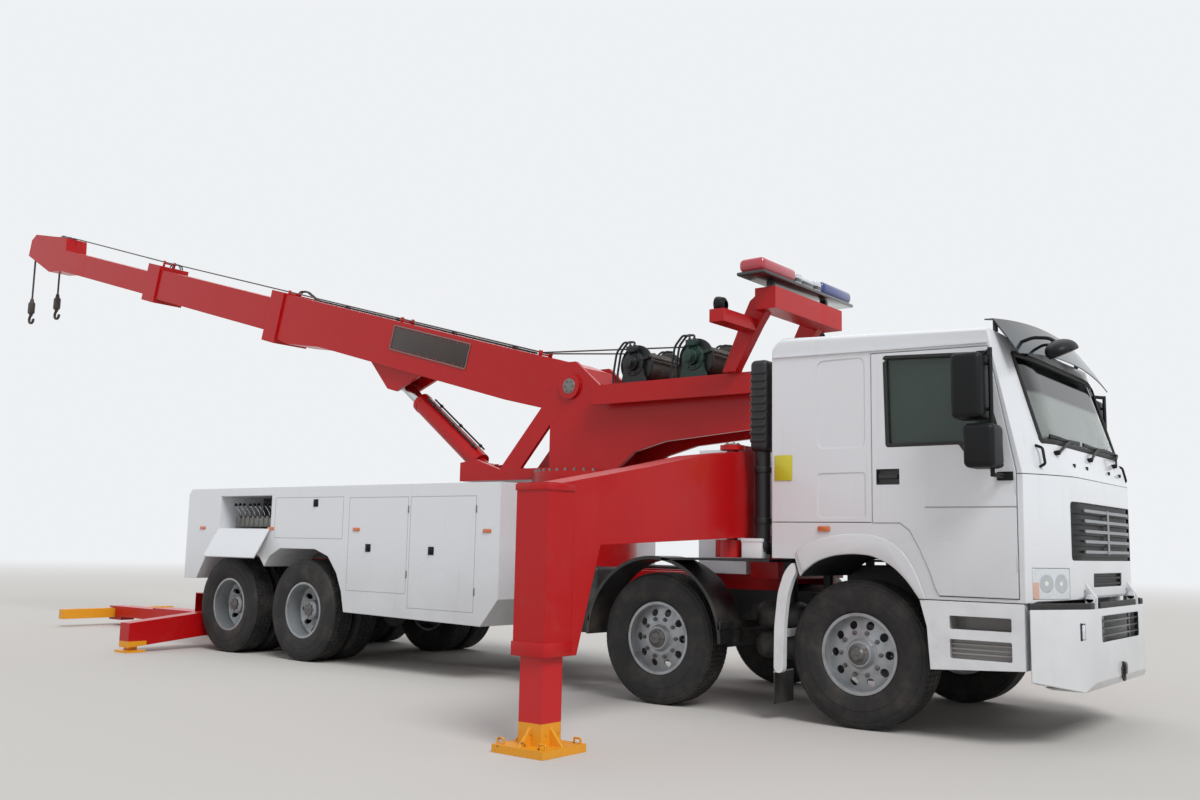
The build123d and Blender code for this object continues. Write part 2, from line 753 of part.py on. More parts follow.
# Head lamps between cab and bumper
with BuildPart() as lamps:
    for out in (-1, 1):
        block(
            (LAMP_REAR_X + SEAT_GAP, LAMP_FRONT_X), sorted((out * 1010, out * 1230)), (LAMP_LOW_Z, LAMP_TOP_Z - SEAT_GAP)
        )
save(lamps.part, "lamps")

# Cab steps and the mudguards of the steered wheels
with BuildPart() as steps_and_fenders:
    for out in (-1, 1):
        upright(
            [
                (614, out * HALF_W), (660, out * 1000), (660, out * 880), (1226, out * 880), (1226, out * HALF_W),
            ],
            482,
            CAB_SILL_Z - 6,
        )
        block((660, 1180), sorted((out * 1248.5, out * 1080)), (640, 720), Mode.SUBTRACT)
        block((700, 740), sorted((out * (RAIL_OUT_Y + SEAT_GAP), out * 890)), (700, 760))
        block((1100, 1140), sorted((out * (RAIL_OUT_Y + SEAT_GAP), out * 890)), (700, 760))
        across(
            [(-560, 1170), (-500, 1200), (-545, 1000), (-560, 361), (-640, 361), (-625, 1000)],
            out * 1195,
            out * HALF_W,
        )
        block((-650, -620), sorted((out * (RAIL_OUT_Y + SEAT_GAP), out * HALF_W)), (620, 680))
        arch = AXLE_X["second"]
        with BuildSketch(Plane.XZ.offset(-out * 900)) as outline:
            with Locations((arch, TYRE_R)):
                Circle(676)
                Circle(648, mode=Mode.SUBTRACT)
                with Locations((0, -400)):
                    Rectangle(1500, 800, mode=Mode.SUBTRACT)
        extrude(outline.sketch, amount=-out * (HALF_W - 900))
        for x in (arch - 662, arch + 662):
            block((x - 14, x + 14), sorted((out * (RAIL_OUT_Y + SEAT_GAP), out * HALF_W)), (RAIL_BOTTOM_Z + 10, RAIL_BOTTOM_Z + 70))
save(steps_and_fenders.part, "steps_and_fenders")

# Air tanks, battery box and the upright air intake behind the cab
with BuildPart() as chassis_equipment:
    for out in (-1, 1):
        for z in (520, 760):
            bar((-1080, out * 700, z), (-700, out * 700, z), 110)
        block((-1080, -700), sorted((out * (RAIL_OUT_Y + SEAT_GAP), out * 600)), (500, 800))
        block((-3300, -2560), sorted((out * 640, out * 1005)), (520, 1100))
        block((-3100, -2700), sorted((out * (RAIL_OUT_Y + SEAT_GAP), out * 641)), (700, 800))
    block((-876, -721), (-1240, -1060), (2050, 2777))
    bar((-800, -1150, 2051), (-800, -1150, 1200), 60)
    bar((-800, -1150, 1230), (-800, -700, 860), 55)
save(chassis_equipment.part, "chassis_equipment")

# Red sub-frame: slewing pedestal, cross beam with the arm hinges, rear outrigger housing
with BuildPart() as subframe:
    for out in (-1, 1):
        block(
            (-8560, -960), sorted((out * RAIL_OUT_Y, out * (RAIL_OUT_Y - 90))), (RAIL_TOP_Z + 0.3, RAIL_TOP_Z + 130)
        )
    with Locations((SLEW_X, 0, (RAIL_TOP_Z + 0.3 + RING_LOW_Z) / 2)):
        Cylinder(RING_R - 40, RING_LOW_Z - RAIL_TOP_Z - 0.3)
        Cylinder(RING_R - 70, RING_LOW_Z - RAIL_TOP_Z - 60, mode=Mode.SUBTRACT)
    with Locations((SLEW_X, 0, (RING_LOW_Z + TURRET_LOW_Z - TURRET_GAP) / 2 - 10)):
        Cylinder(RING_R, TURRET_LOW_Z - TURRET_GAP - RING_LOW_Z + 20)
    block((ARM_X - 150, ARM_X + 110), (-ARM_PIN_Y - 10, ARM_PIN_Y + 10), (1215, 1355))
    block((ARM_X - 150, ARM_X + 110), (-600, 600), (RAIL_TOP_Z + 100, 1216))
    for out in (-1, 1):
        hinge_y = out * ARM_PIN_Y
        bar((ARM_X, hinge_y, 1215), (ARM_X, hinge_y, 1355), 100)
        bar((ARM_X, hinge_y, 1300), (ARM_X, hinge_y, 2110), ARM_PIN_R)
        bar((ARM_X, hinge_y, 2070), (ARM_X, hinge_y, 2110), 100)
        block((ARM_X - 90, ARM_X + 90), sorted((hinge_y, out * 700)), (2070, 2110))
        block((ARM_X - 90, ARM_X + 90), sorted((out * 700, out * 800)), (1216, 2110))
    for x in (
        REAR_LEG_X["right"] + REAR_BEAM_HALF,
        REAR_LEG_X["left"] + REAR_BEAM_HALF,
        REAR_LEG_X["left"] - REAR_BEAM_HALF - 20,
    ):
        block((x + 5, x + (30 if x == REAR_LEG_X["left"] + REAR_BEAM_HALF else 15)), (-HOUSING_Y, HOUSING_Y), (HOUSING_LOW_Z, HOUSING_TOP_Z))
    block(
        (REAR_LEG_X["left"] - REAR_BEAM_HALF - 15, REAR_LEG_X["right"] + REAR_BEAM_HALF + 15),
        (-HOUSING_Y, HOUSING_Y),
        (HOUSING_TOP_Z - 12, HOUSING_TOP_Z),
    )
    block((TAIL_X, -8500.3), (-RAIL_OUT_Y, RAIL_OUT_Y), (HOUSING_TOP_Z - 1, RAIL_TOP_Z + 130))
    for side, out in SIDES.items():
        low_out = REAR_END_Z - REAR_BEAM_H + (REAR_END_Y - HOUSING_Y) * REAR_LEG_SLOPE
        low_in = REAR_END_Z - REAR_BEAM_H + (REAR_END_Y - SKID_Y) * REAR_LEG_SLOPE
        lengthwise(
            [
                (out * SKID_Y, low_in - PIN_GAP), (out * HOUSING_Y, low_out - PIN_GAP),
                (out * HOUSING_Y, HOUSING_LOW_Z), (out * SKID_Y, HOUSING_LOW_Z),
            ],
            REAR_LEG_X[side] - REAR_BEAM_HALF - 6,
            REAR_LEG_X[side] + REAR_BEAM_HALF + 6,
        )
    pin_x, pin_z = FOLD_PIN
    for out in (-1, 1):
        lug_in, lug_out = out * (LIFT_HALF_W + 6), out * (LIFT_HALF_W + 46)
        across(
            [(TAIL_X + 1, 1070), (TAIL_X + 1, 640), (pin_x + 40, 860), (pin_x - 60, 900), (pin_x - 60, 1040), (pin_x + 20, 1070)],
            lug_in,
            lug_out,
        )
    bar((pin_x, -LIFT_HALF_W - 45, pin_z), (pin_x, LIFT_HALF_W + 45, pin_z), FOLD_PIN_R)
save(subframe.part, "subframe")

# Rear body: a row of lockers down each side, a deck between them, and the oil tank
BODY_SIDE = [
    (BODY_FRONT_X, BODY_TOP_Z),
    (BODY_FRONT_X, 776),
    (BODY_FRONT_X - 215, 520),
    (-5690, BODY_LOW_Z),
    (-5740, 760),
    (-5830, 950),
    (-5980, 1120),
    (-6200, ARCH_TOP_Z),
    (-6800, ARCH_TOP_Z),
    (-6990, 1100),
    (-7075, 985),
    (-7160, 1080),
    (-7350, ARCH_TOP_Z),
    (-8000, ARCH_TOP_Z),
    (-8220, 1060),
    (-8380, 815),
    (BODY_REAR_X, 815),
    (BODY_REAR_X, BODY_TOP_Z - 60),
    (BODY_REAR_X + 60, BODY_TOP_Z),
]
with BuildPart() as body_lockers:
    for out in (-1, 1):
        outer = out * HALF_W
        inner = out * (HALF_W - BODY_DEPTH)
        across(BODY_SIDE, inner, outer)
        across(
            [
                (FLAP_REAR_X, FLAP_LOW_Z), (FLAP_REAR_X, FLAP_TOP_Z),
                (FLAP_FRONT_X, FLAP_TOP_Z), (FLAP_FRONT_X, FLAP_LOW_Z),
            ],
            inner + out * BODY_WALL,
            outer + out,
            Mode.SUBTRACT,
        )
        across(
            [
                (BODY_FRONT_X - BODY_WALL, BODY_TOP_Z - BODY_WALL),
                (BODY_FRONT_X - BODY_WALL, 790),
                (BODY_FRONT_X - 225, 545),
                (-5670, BODY_LOW_Z + 25),
                (-5720, 780),
                (-5820, 980),
                (-5960, 1150),
                (-6190, ARCH_TOP_Z + BODY_WALL),
                (-6900, ARCH_TOP_Z + BODY_WALL),
                (-6900, BODY_TOP_Z - BODY_WALL),
            ],
            inner + out * BODY_WALL,
            outer - out * BODY_WALL,
            Mode.SUBTRACT,
        )
    block((BODY_REAR_X + 60, SLEW_X - RING_R - 60), (-650, 650), (BODY_TOP_Z - 30, BODY_TOP_Z - 8))
    for x in (BODY_REAR_X + 120, -7075, -5600, -4300):
        block((x - 40, x + 40), (-650, 650), (RAIL_TOP_Z + 130.6, RAIL_TOP_Z + 260))
    for out in (-1, 1):
        for x in (FLAP_REAR_X + 120, FLAP_FRONT_X - 120):
            block(
                (x - 30, x + 30),
                sorted((out * (HALF_W - 1), out * (HALF_W + FLAP_OFF - FLAP_ROD_R - SEAT_GAP))),
                (FLAP_LOW_Z - 16, FLAP_LOW_Z - 1),
            )
    block((-1780, -1300), (-560, 560), (RAIL_TOP_Z + 130.6, 2140))
    block((-1300, ARM_X - 160), (-560, 560), (1400, 2140))
save(body_lockers.part, "body_lockers")

# Drop-down flap of the control locker, right side hanging open and left side shut
flap_len = FLAP_TOP_Z - FLAP_LOW_Z - 6
for side, out in SIDES.items():
    hinge_y = out * (HALF_W + FLAP_OFF)
    hinge_z = FLAP_LOW_Z - 8
    with BuildPart() as flap:
        bar((FLAP_REAR_X + 4, hinge_y, hinge_z), (FLAP_FRONT_X - 4, hinge_y, hinge_z), FLAP_ROD_R)
        if side == "right":
            tilt = radians(30)
            dy, dz = -sin(tilt), -cos(tilt)
        else:
            dy, dz = 0, 1
        ny, nz = dz, -dy
        corners = [(0, -FLAP_T / 2), (flap_len, -FLAP_T / 2), (flap_len, FLAP_T / 2), (0, FLAP_T / 2)]
        if side == "left":
            corners = [(6, -FLAP_T / 2), (flap_len, -FLAP_T / 2), (flap_len, FLAP_T / 2), (6, FLAP_T / 2)]
        lengthwise(
            [(hinge_y + a * dy + b * ny, hinge_z + a * dz + b * nz) for a, b in corners],
            FLAP_REAR_X + 4,
            FLAP_FRONT_X - 4,
        )
    save(flap.part, f"locker_flap_{side}")

# Slewing tower: ring plate, two side plates with the boom pivot, and the winch deck
with BuildPart() as turret_frame:
    with Locations((SLEW_X, 0, TURRET_LOW_Z + 30)):
        Cylinder(RING_R, 60)
    for out in (-1, 1):
        inner, outer = out * MAST_PLATE_IN, out * (MAST_PLATE_IN + MAST_PLATE_T)
        across(
            [
                (-5020, TURRET_LOW_Z),
                (-5020, CYL_FOOT_Z + 60),
                (-4790, CYL_FOOT_Z + 90),
                (-4440, 2060),
                (-3745, 2830),
                (-3660, 3010),
                (-3560, 3120),
                (-3440, 3120),
                (-3100, DECK_TOP_Z),
                (DECK_FRONT_X, DECK_TOP_Z),
                (DECK_FRONT_X, 2352),
                (-2344, 2268),
                (-2700, 2180),
                (-3000, TURRET_LOW_Z),
            ],
            inner,
            outer,
        )
        across([(-4150, 2060), (-3760, 2060), (-3760, 2500)], inner - out, outer + out, Mode.SUBTRACT)
        bar((PIVOT_X, inner, PIVOT_Z), (PIVOT_X, outer + out * 30, PIVOT_Z), 130)
        bar((PIVOT_X, inner - out, PIVOT_Z), (PIVOT_X, outer + out * 31, PIVOT_Z), PIVOT_R + PIN_GAP, Mode.SUBTRACT)
        block(
            (-3110, DECK_FRONT_X),
            sorted((out * MAST_PLATE_IN, out * DECK_HALF_W)),
            (DECK_TOP_Z - 24, DECK_TOP_Z),
        )
        block(
            (-3110, DECK_FRONT_X),
            sorted((out * (DECK_HALF_W - 24), out * DECK_HALF_W)),
            (DECK_TOP_Z - DECK_FLANGE_H, DECK_TOP_Z),
        )
        across(
            [
                (-1570, DECK_TOP_Z - 1), (-1436, DECK_TOP_Z - 1), (-1200, 3230), (-1130, 3330), (-980, 3330),
                (-980, 3520), (-1180, 3520), (-1290, 3440), (-1360, 3300),
            ],
            out * 430,
            out * 530,
        )
        block((-1370, -1230), sorted((out * 529, out * 1060)), (3170, 3280))
    block((-3110, DECK_FRONT_X), (-MAST_PLATE_IN - 1, MAST_PLATE_IN + 1), (DECK_TOP_Z - 24, DECK_TOP_Z))
    block((-3130, -3090), (-MAST_PLATE_IN - 1, MAST_PLATE_IN + 1), (TURRET_LOW_Z, DECK_TOP_Z))
    block((-5020, -3900), (-MAST_PLATE_IN - 1, MAST_PLATE_IN + 1), (TURRET_LOW_Z, TURRET_LOW_Z + 30))
    block((-1180, -980), (-632, 632), (3330, 3520))
    for out in (-1, 1):
        block(
            (CYL_FOOT_X - 75, CYL_FOOT_X + 75),
            sorted((out * FOOT_LUG_GAP, out * (FOOT_LUG_GAP + 30))),
            (TURRET_LOW_Z + 1, CYL_FOOT_Z + 65),
        )
    bar((CYL_FOOT_X, -110, CYL_FOOT_Z), (CYL_FOOT_X, 110, CYL_FOOT_Z), 40)
save(turret_frame.part, "turret_frame")

# Two deck winches, each a flanged drum between side cheeks
with BuildPart() as winches:
    for x in (-2705, -2020):
        z = DECK_TOP_Z + 200
        for out in (-1, 1):
            bar((x, out * 250, z), (x, out * 270, z), 190)
            bar((x, out * 269, z), (x, out * 330, z), 110)
            across(
                [(x - 150, DECK_TOP_Z + 0.3), (x + 150, DECK_TOP_Z + 0.3), (x + 80, z + 60), (x - 80, z + 60)],
                out * 290,
                out * 320,
            )
        bar((x, -251, z), (x, 251, z), 120)
save(winches.part, "winches")

# Warning light bar over the cab, on two brackets
with BuildPart() as light_bar:
    block((-1230, -970), (-850, 850), (3590, 3700))
    for y in (-500, 500):
        block((-1130, -1070), (y - 25, y + 25), (3520.3, 3591))
save(light_bar.part, "light_bar")

# Boom base section: welded box with its bore, front collar and the lift lug below
with BuildPart() as boom_base:
    along_boom(
        [
            (-170, -60), (-170, 90), (-60, 210), (233, BASE_TOP_H + 8), (900, BASE_TOP_H), (BASE_END_S, BASE_TOP_H),
            (BASE_END_S, BASE_LOW_H - 20), (4854, BASE_LOW_H - 75), (4185, BASE_LOW_H), (3250, BASE_LOW_H),
            (900, BASE_LOW_H), (300, -290), (-60, -170),
        ],
        BASE_HALF_W,
    )
    along_boom(
        [
            (5090, BASE_LOW_H - 110), (5090, BASE_TOP_H + 15), (BASE_END_S, BASE_TOP_H + 15),
            (BASE_END_S, BASE_LOW_H - 110),
        ],
        BASE_HALF_W + 25,
    )
    along_boom(
        [
            (BASE_BORE_S, BASE_LOW_H + BASE_WALL), (BASE_BORE_S, BASE_TOP_H - BASE_WALL),
            (BASE_END_S + 1, BASE_TOP_H - BASE_WALL), (BASE_END_S + 1, BASE_LOW_H + BASE_WALL),
        ],
        BASE_HALF_W - BASE_WALL,
        Mode.SUBTRACT,
    )
    along_boom(
        [
            (BASE_END_S - 200, BASE_LOW_H + BASE_WALL - 1), (BASE_END_S - 200, MID_LOW_H - PIN_GAP),
            (BASE_END_S, MID_LOW_H - PIN_GAP), (BASE_END_S, BASE_LOW_H + BASE_WALL - 1),
        ],
        MID_HALF_W - 20,
    )
    for out in (-1, 1):
        along_boom(
            [
                (2350, BASE_LOW_H + 1), (2660, EYE_H - 60), (2700, EYE_H - 90), (2850, EYE_H - 90),
                (3250, BASE_LOW_H + 1),
            ],
            CHEEK_T / 2,
            offset=out * (CHEEK_GAP + CHEEK_T / 2),
        )
    bar((PIVOT_X, -MAST_PLATE_IN - MAST_PLATE_T - 20, PIVOT_Z), (PIVOT_X, MAST_PLATE_IN + MAST_PLATE_T + 20, PIVOT_Z), PIVOT_R)
save(boom_base.part, "boom_base")

# Middle section with its collar
with BuildPart() as boom_mid:
    along_boom(
        [(MID_INNER_S, MID_LOW_H), (MID_INNER_S, MID_TOP_H), (MID_END_S, MID_TOP_H), (MID_END_S, MID_LOW_H)],
        MID_HALF_W,
    )
    along_boom(
        [(8230, MID_LOW_H - 60), (8230, MID_TOP_H + 60), (MID_END_S, MID_TOP_H + 60), (MID_END_S, MID_LOW_H - 60)],
        MID_HALF_W + 25,
    )
    along_boom(
        [
            (MID_INNER_S - 1, MID_LOW_H + MID_WALL), (MID_INNER_S - 1, MID_TOP_H - MID_WALL),
            (MID_END_S + 1, MID_TOP_H - MID_WALL), (MID_END_S + 1, MID_LOW_H + MID_WALL),
        ],
        MID_HALF_W - MID_WALL,
        Mode.SUBTRACT,
    )
    along_boom(
        [
            (MID_END_S - 150, MID_LOW_H + MID_WALL - 1), (MID_END_S - 150, TIP_LOW_H - PIN_GAP),
            (MID_END_S, TIP_LOW_H - PIN_GAP), (MID_END_S, MID_LOW_H + MID_WALL - 1),
        ],
        TIP_HALF_W - 20,
    )
save(boom_mid.part, "boom_mid")

# Tip section with the sheave head
with BuildPart() as boom_tip:
    along_boom(
        [(TIP_INNER_S, TIP_LOW_H), (TIP_INNER_S, TIP_TOP_H), (TIP_END_S + 60, TIP_TOP_H), (TIP_END_S + 60, TIP_LOW_H)],
        TIP_HALF_W,
    )
    along_boom(
        [
            (TIP_END_S, TIP_LOW_H), (TIP_END_S, TIP_TOP_H), (TIP_END_S + 70, 275), (HEAD_END_S - 126, 210),
            (HEAD_END_S, 100), (HEAD_END_S, HEAD_NOSE_H), (HEAD_HEEL_S, HEAD_HEEL_H),
        ],
        TIP_HALF_W,
    )
    along_boom(
        [
            (TIP_INNER_S - 1, TIP_LOW_H + TIP_WALL), (TIP_INNER_S - 1, TIP_TOP_H - TIP_WALL),
            (TIP_END_S - 200, TIP_TOP_H - TIP_WALL), (TIP_END_S - 200, TIP_LOW_H + TIP_WALL),
        ],
        TIP_HALF_W - TIP_WALL,
        Mode.SUBTRACT,
    )
save(boom_tip.part, "boom_tip")

# The two load hooks, hanging on their falls below the head
HEAD_SLOPE = (HEAD_NOSE_H - HEAD_HEEL_H) / (HEAD_END_S - HEAD_HEEL_S)
with BuildPart() as hooks:
    for s, y, drop in ((HEAD_END_S - 136, -110, 900), (HEAD_END_S - 600, 110, 620)):
        face = boom_point(s, HEAD_HEEL_H + (s - HEAD_HEEL_S) * HEAD_SLOPE, y)
        top = face[2] - ROPE_R * tan(radians(BOOM_ANGLE) + atan(HEAD_SLOPE)) - 2 * SEAT_GAP
        x = face[0]
        bar((x, y, top), (x, y, top - drop), ROPE_R)
        block((x - 60, x + 60), (y - 50, y + 50), (top - drop - 60, top - drop + 160))
        with Locations((x, y, top - drop - 140)):
            Torus(75, 26, rotation=(90, 0, 0))
save(hooks.part, "hooks")

# Lift cylinder, from the tower's foot lug to the eye under the boom
EYE = boom_point(EYE_S, EYE_H)
CYL_DX, CYL_DZ = EYE[0] - CYL_FOOT_X, EYE[2] - CYL_FOOT_Z
CYL_LEN = hypot(CYL_DX, CYL_DZ)
CYL_UNIT = (CYL_DX / CYL_LEN, 0, CYL_DZ / CYL_LEN)


def on_cylinder(distance):
    """Point on the lift cylinder's axis, measured from its foot pin."""
    return (CYL_FOOT_X + distance * CYL_UNIT[0], 0, CYL_FOOT_Z + distance * CYL_UNIT[2])


BARREL_END = CYL_LEN - EYE_R - ROD_SHOWN
with BuildPart() as lift_barrel:
    bar(on_cylinder(130), on_cylinder(BARREL_END), BARREL_R)
    block((CYL_FOOT_X - 10, CYL_FOOT_X + 10), (-FOOT_LUG_GAP + 5, FOOT_LUG_GAP - 5), (CYL_FOOT_Z - 10, CYL_FOOT_Z + 10))
    bar((CYL_FOOT_X, -FOOT_LUG_GAP + 5, CYL_FOOT_Z), (CYL_FOOT_X, FOOT_LUG_GAP - 5, CYL_FOOT_Z), 75)
    bar(on_cylinder(40), on_cylinder(131), 66)
    bar(on_cylinder(150), on_cylinder(BARREL_END + 1), ROD_R + PIN_GAP, Mode.SUBTRACT)
    bar((CYL_FOOT_X, -FOOT_LUG_GAP, CYL_FOOT_Z), (CYL_FOOT_X, FOOT_LUG_GAP, CYL_FOOT_Z), 40 + PIN_GAP, Mode.SUBTRACT)
save(lift_barrel.part, "lift_barrel")

with BuildPart() as lift_rod:
    bar(on_cylinder(385), on_cylinder(CYL_LEN - 40), ROD_R)
    bar((EYE[0], -CHEEK_GAP + 8, EYE[2]), (EYE[0], CHEEK_GAP - 8, EYE[2]), EYE_R)
save(lift_rod.part, "lift_rod")

# Front outriggers: swing arm with its leg tube, and the leg with its foot
for side, out in SIDES.items():
    with BuildPart() as arm:
        lengthwise(
            [
                (out * 1010, 1380), (out * 1010, 2060), (out * 1150, 2060), (out * 1748, 1986), (out * 2463, 1850),
                (out * (LEG_Y - 10), LEG_TUBE_TOP_Z), (out * (LEG_Y - 10), LEG_TUBE_LOW_Z),
                (out * 3250, LEG_TUBE_LOW_Z), (out * 3020, 1293),
            ],
            ARM_X - ARM_HALF_W,
            ARM_X + ARM_HALF_W,
        )
        block(
            (ARM_X - LEG_TUBE_HALF, ARM_X + LEG_TUBE_HALF),
            sorted((out * (LEG_Y - LEG_TUBE_HALF), out * (LEG_Y + LEG_TUBE_HALF))),
            (LEG_TUBE_LOW_Z, LEG_TUBE_TOP_Z),
        )
        hole = LEG_TUBE_HALF - LEG_TUBE_WALL
        block(
            (ARM_X - hole, ARM_X + hole),
            sorted((out * (LEG_Y - hole), out * (LEG_Y + hole))),
            (LEG_TUBE_LOW_Z + LEG_MOUTH_H, LEG_TUBE_TOP_Z - 20),
            Mode.SUBTRACT,
        )
        mouth = LEG_HALF + PIN_GAP
        block(
            (ARM_X - mouth, ARM_X + mouth),
            sorted((out * (LEG_Y - mouth), out * (LEG_Y + mouth))),
            (LEG_TUBE_LOW_Z - 1, LEG_TUBE_LOW_Z + LEG_MOUTH_H + 1),
            Mode.SUBTRACT,
        )
        bar((ARM_X, out * ARM_PIN_Y, 1280), (ARM_X, out * ARM_PIN_Y, 2100), ARM_PIN_R + PIN_GAP, Mode.SUBTRACT)
    save(arm.part, f"outrigger_arm_{side}")

    with BuildPart() as leg:
        y = out * LEG_Y
        block((ARM_X - LEG_HALF, ARM_X + LEG_HALF), (y - LEG_HALF, y + LEG_HALF), (PAD_T, 1180))
        block((ARM_X - PAD_HALF, ARM_X + PAD_HALF), (y - PAD_HALF, y + PAD_HALF), (0, PAD_T))
        for turn in (0, 1):
            for near in (-1, 1):
                tall, far = near * LEG_HALF, near * (PAD_HALF - 15)
                if turn:
                    across([(ARM_X + tall, PAD_RIB_Z), (ARM_X + tall, PAD_T - 1), (ARM_X + far, PAD_T - 1)], y - 12, y + 12)
                else:
                    lengthwise([(y + tall, PAD_RIB_Z), (y + tall, PAD_T - 1), (y + far, PAD_T - 1)], ARM_X - 12, ARM_X + 12)
    save(leg.part, f"outrigger_leg_{side}")

# Rear outriggers: slanted beams that slide out of the cross housing to their feet
for side, out in SIDES.items():
    x = REAR_LEG_X[side]
    rise = (REAR_END_Y - REAR_INNER_Y) * REAR_LEG_SLOPE
    low = REAR_END_Z - REAR_BEAM_H
    with BuildPart() as rear_leg:
        lengthwise(
            [
                (out * REAR_INNER_Y, REAR_END_Z + rise), (out * REAR_END_Y, REAR_END_Z), (out * REAR_END_Y, low),
                (out * REAR_INNER_Y, low + rise),
            ],
            x - REAR_BEAM_HALF,
            x + REAR_BEAM_HALF,
        )
        block((x - 50, x + 50), sorted((out * (REAR_FOOT_Y - 50), out * (REAR_FOOT_Y + 50))), (24, 120))
        block((x - 120, x + 120), sorted((out * (REAR_FOOT_Y - 120), out * (REAR_FOOT_Y + 120))), (0, 25))
    save(rear_leg.part, f"rear_outrigger_{side}")

# Underlift: arm folding on the tail, its sliding inner arm and the swivelling cross head
with BuildPart() as underlift_arm:
    block((LIFT_OUTER_END_X, KNEE_X + 60), (-LIFT_HALF_W, LIFT_HALF_W), (LIFT_LOW_Z, LIFT_TOP_Z))
    pin_x, pin_z = FOLD_PIN
    across(
        [
            (KNEE_X - 330, LIFT_TOP_Z - 1), (KNEE_X + 60, LIFT_LOW_Z), (pin_x + 60, pin_z - 60),
            (pin_x + 20, pin_z + 82), (pin_x - 60, pin_z + 60),
        ],
        -LIFT_HALF_W,
        LIFT_HALF_W,
    )
    bar((pin_x, -LIFT_HALF_W, pin_z), (pin_x, LIFT_HALF_W, pin_z), FOLD_BOSS_R)
    bar((pin_x, -LIFT_HALF_W - 1, pin_z), (pin_x, LIFT_HALF_W + 1, pin_z), FOLD_PIN_R + PIN_GAP, Mode.SUBTRACT)
    block(
        (LIFT_OUTER_END_X - 1, KNEE_X - 150),
        (-LIFT_HALF_W + LIFT_WALL, LIFT_HALF_W - LIFT_WALL),
        (LIFT_LOW_Z + LIFT_WALL, LIFT_TOP_Z - LIFT_WALL),
        Mode.SUBTRACT,
    )
    block(
        (LIFT_OUTER_END_X, LIFT_OUTER_END_X + 150),
        (-LIFT_HALF_W + 40, LIFT_HALF_W - 40),
        (LIFT_LOW_Z + LIFT_WALL - 1, LIFT_LOW_Z + LIFT_WALL + 6 - PIN_GAP),
    )
save(underlift_arm.part, "underlift_arm")

with BuildPart() as underlift_inner:
    gap = LIFT_WALL + 6
    block(
        (LIFT_INNER_END_X, LIFT_INNER_START_X),
        (-LIFT_HALF_W + gap, LIFT_HALF_W - gap),
        (LIFT_LOW_Z + gap, LIFT_TOP_Z - gap),
    )
    for low, high in ((CROSS_LOW_Z - 30, CROSS_LOW_Z - 6), (CROSS_TOP_Z + 6, CROSS_TOP_Z + 30)):
        block((CROSS_X - 65, LIFT_INNER_END_X + 120), (-100, 100), (low, high))
    block((LIFT_INNER_END_X - 1, LIFT_INNER_END_X + 119), (-100, 100), (CROSS_LOW_Z - 29, CROSS_TOP_Z + 29))
    bar((CROSS_X, 0, CROSS_LOW_Z - 29), (CROSS_X, 0, CROSS_TOP_Z + 29), CROSS_PIN_R)
save(underlift_inner.part, "underlift_inner")

with BuildPart() as underlift_head:
    block((CROSS_X - CROSS_HALF_X, CROSS_X + CROSS_HALF_X), (-CROSS_HALF_W, CROSS_HALF_W), (CROSS_LOW_Z, CROSS_TOP_Z))
    bar((CROSS_X, 0, CROSS_LOW_Z - 1), (CROSS_X, 0, CROSS_TOP_Z + 1), CROSS_PIN_R + PIN_GAP, Mode.SUBTRACT)
    for y in (-FORK_HOLE_Y, FORK_HOLE_Y):
        bar((CROSS_X, y, CROSS_LOW_Z - 1), (CROSS_X, y, CROSS_TOP_Z + 1), FORK_HOLE_R, Mode.SUBTRACT)
save(underlift_head.part, "underlift_head")
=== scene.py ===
"""Looks of the heavy recovery truck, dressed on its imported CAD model."""

import math

import bmesh
import bpy
from mathutils import Matrix, Vector


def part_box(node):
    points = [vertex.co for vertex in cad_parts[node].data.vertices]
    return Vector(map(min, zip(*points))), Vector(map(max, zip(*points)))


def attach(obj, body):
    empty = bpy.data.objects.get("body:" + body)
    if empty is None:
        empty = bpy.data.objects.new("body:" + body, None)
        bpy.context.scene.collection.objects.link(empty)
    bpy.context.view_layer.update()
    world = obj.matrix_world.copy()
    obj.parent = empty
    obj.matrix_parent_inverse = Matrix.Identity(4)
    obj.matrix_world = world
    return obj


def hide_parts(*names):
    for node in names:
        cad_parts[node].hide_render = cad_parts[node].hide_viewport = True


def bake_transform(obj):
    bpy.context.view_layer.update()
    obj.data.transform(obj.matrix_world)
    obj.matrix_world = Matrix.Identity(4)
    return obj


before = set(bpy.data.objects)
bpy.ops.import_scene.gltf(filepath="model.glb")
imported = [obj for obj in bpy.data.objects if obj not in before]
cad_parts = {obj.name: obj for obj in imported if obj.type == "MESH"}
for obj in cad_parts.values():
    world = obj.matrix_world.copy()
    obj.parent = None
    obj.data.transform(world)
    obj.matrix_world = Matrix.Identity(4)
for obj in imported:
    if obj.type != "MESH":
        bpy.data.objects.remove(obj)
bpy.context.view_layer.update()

# The chassis: two pressed channel rails with cross members, in satin black frame paint under a dry
# film of road dust. Its drawing counts millimetres forward from the front axle, leftward from the
# centre line and up from the ground, and every piece of the truck is placed by it.
tyre_low, tyre_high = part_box("tyre_front_right")
FRONT_AXLE = (tyre_low.x + tyre_high.x) / 2
DRAWING = Matrix.Translation((FRONT_AXLE, 0, 0)) @ Matrix.Scale(0.001, 4)
SIDES = {"right": -1, "left": 1}


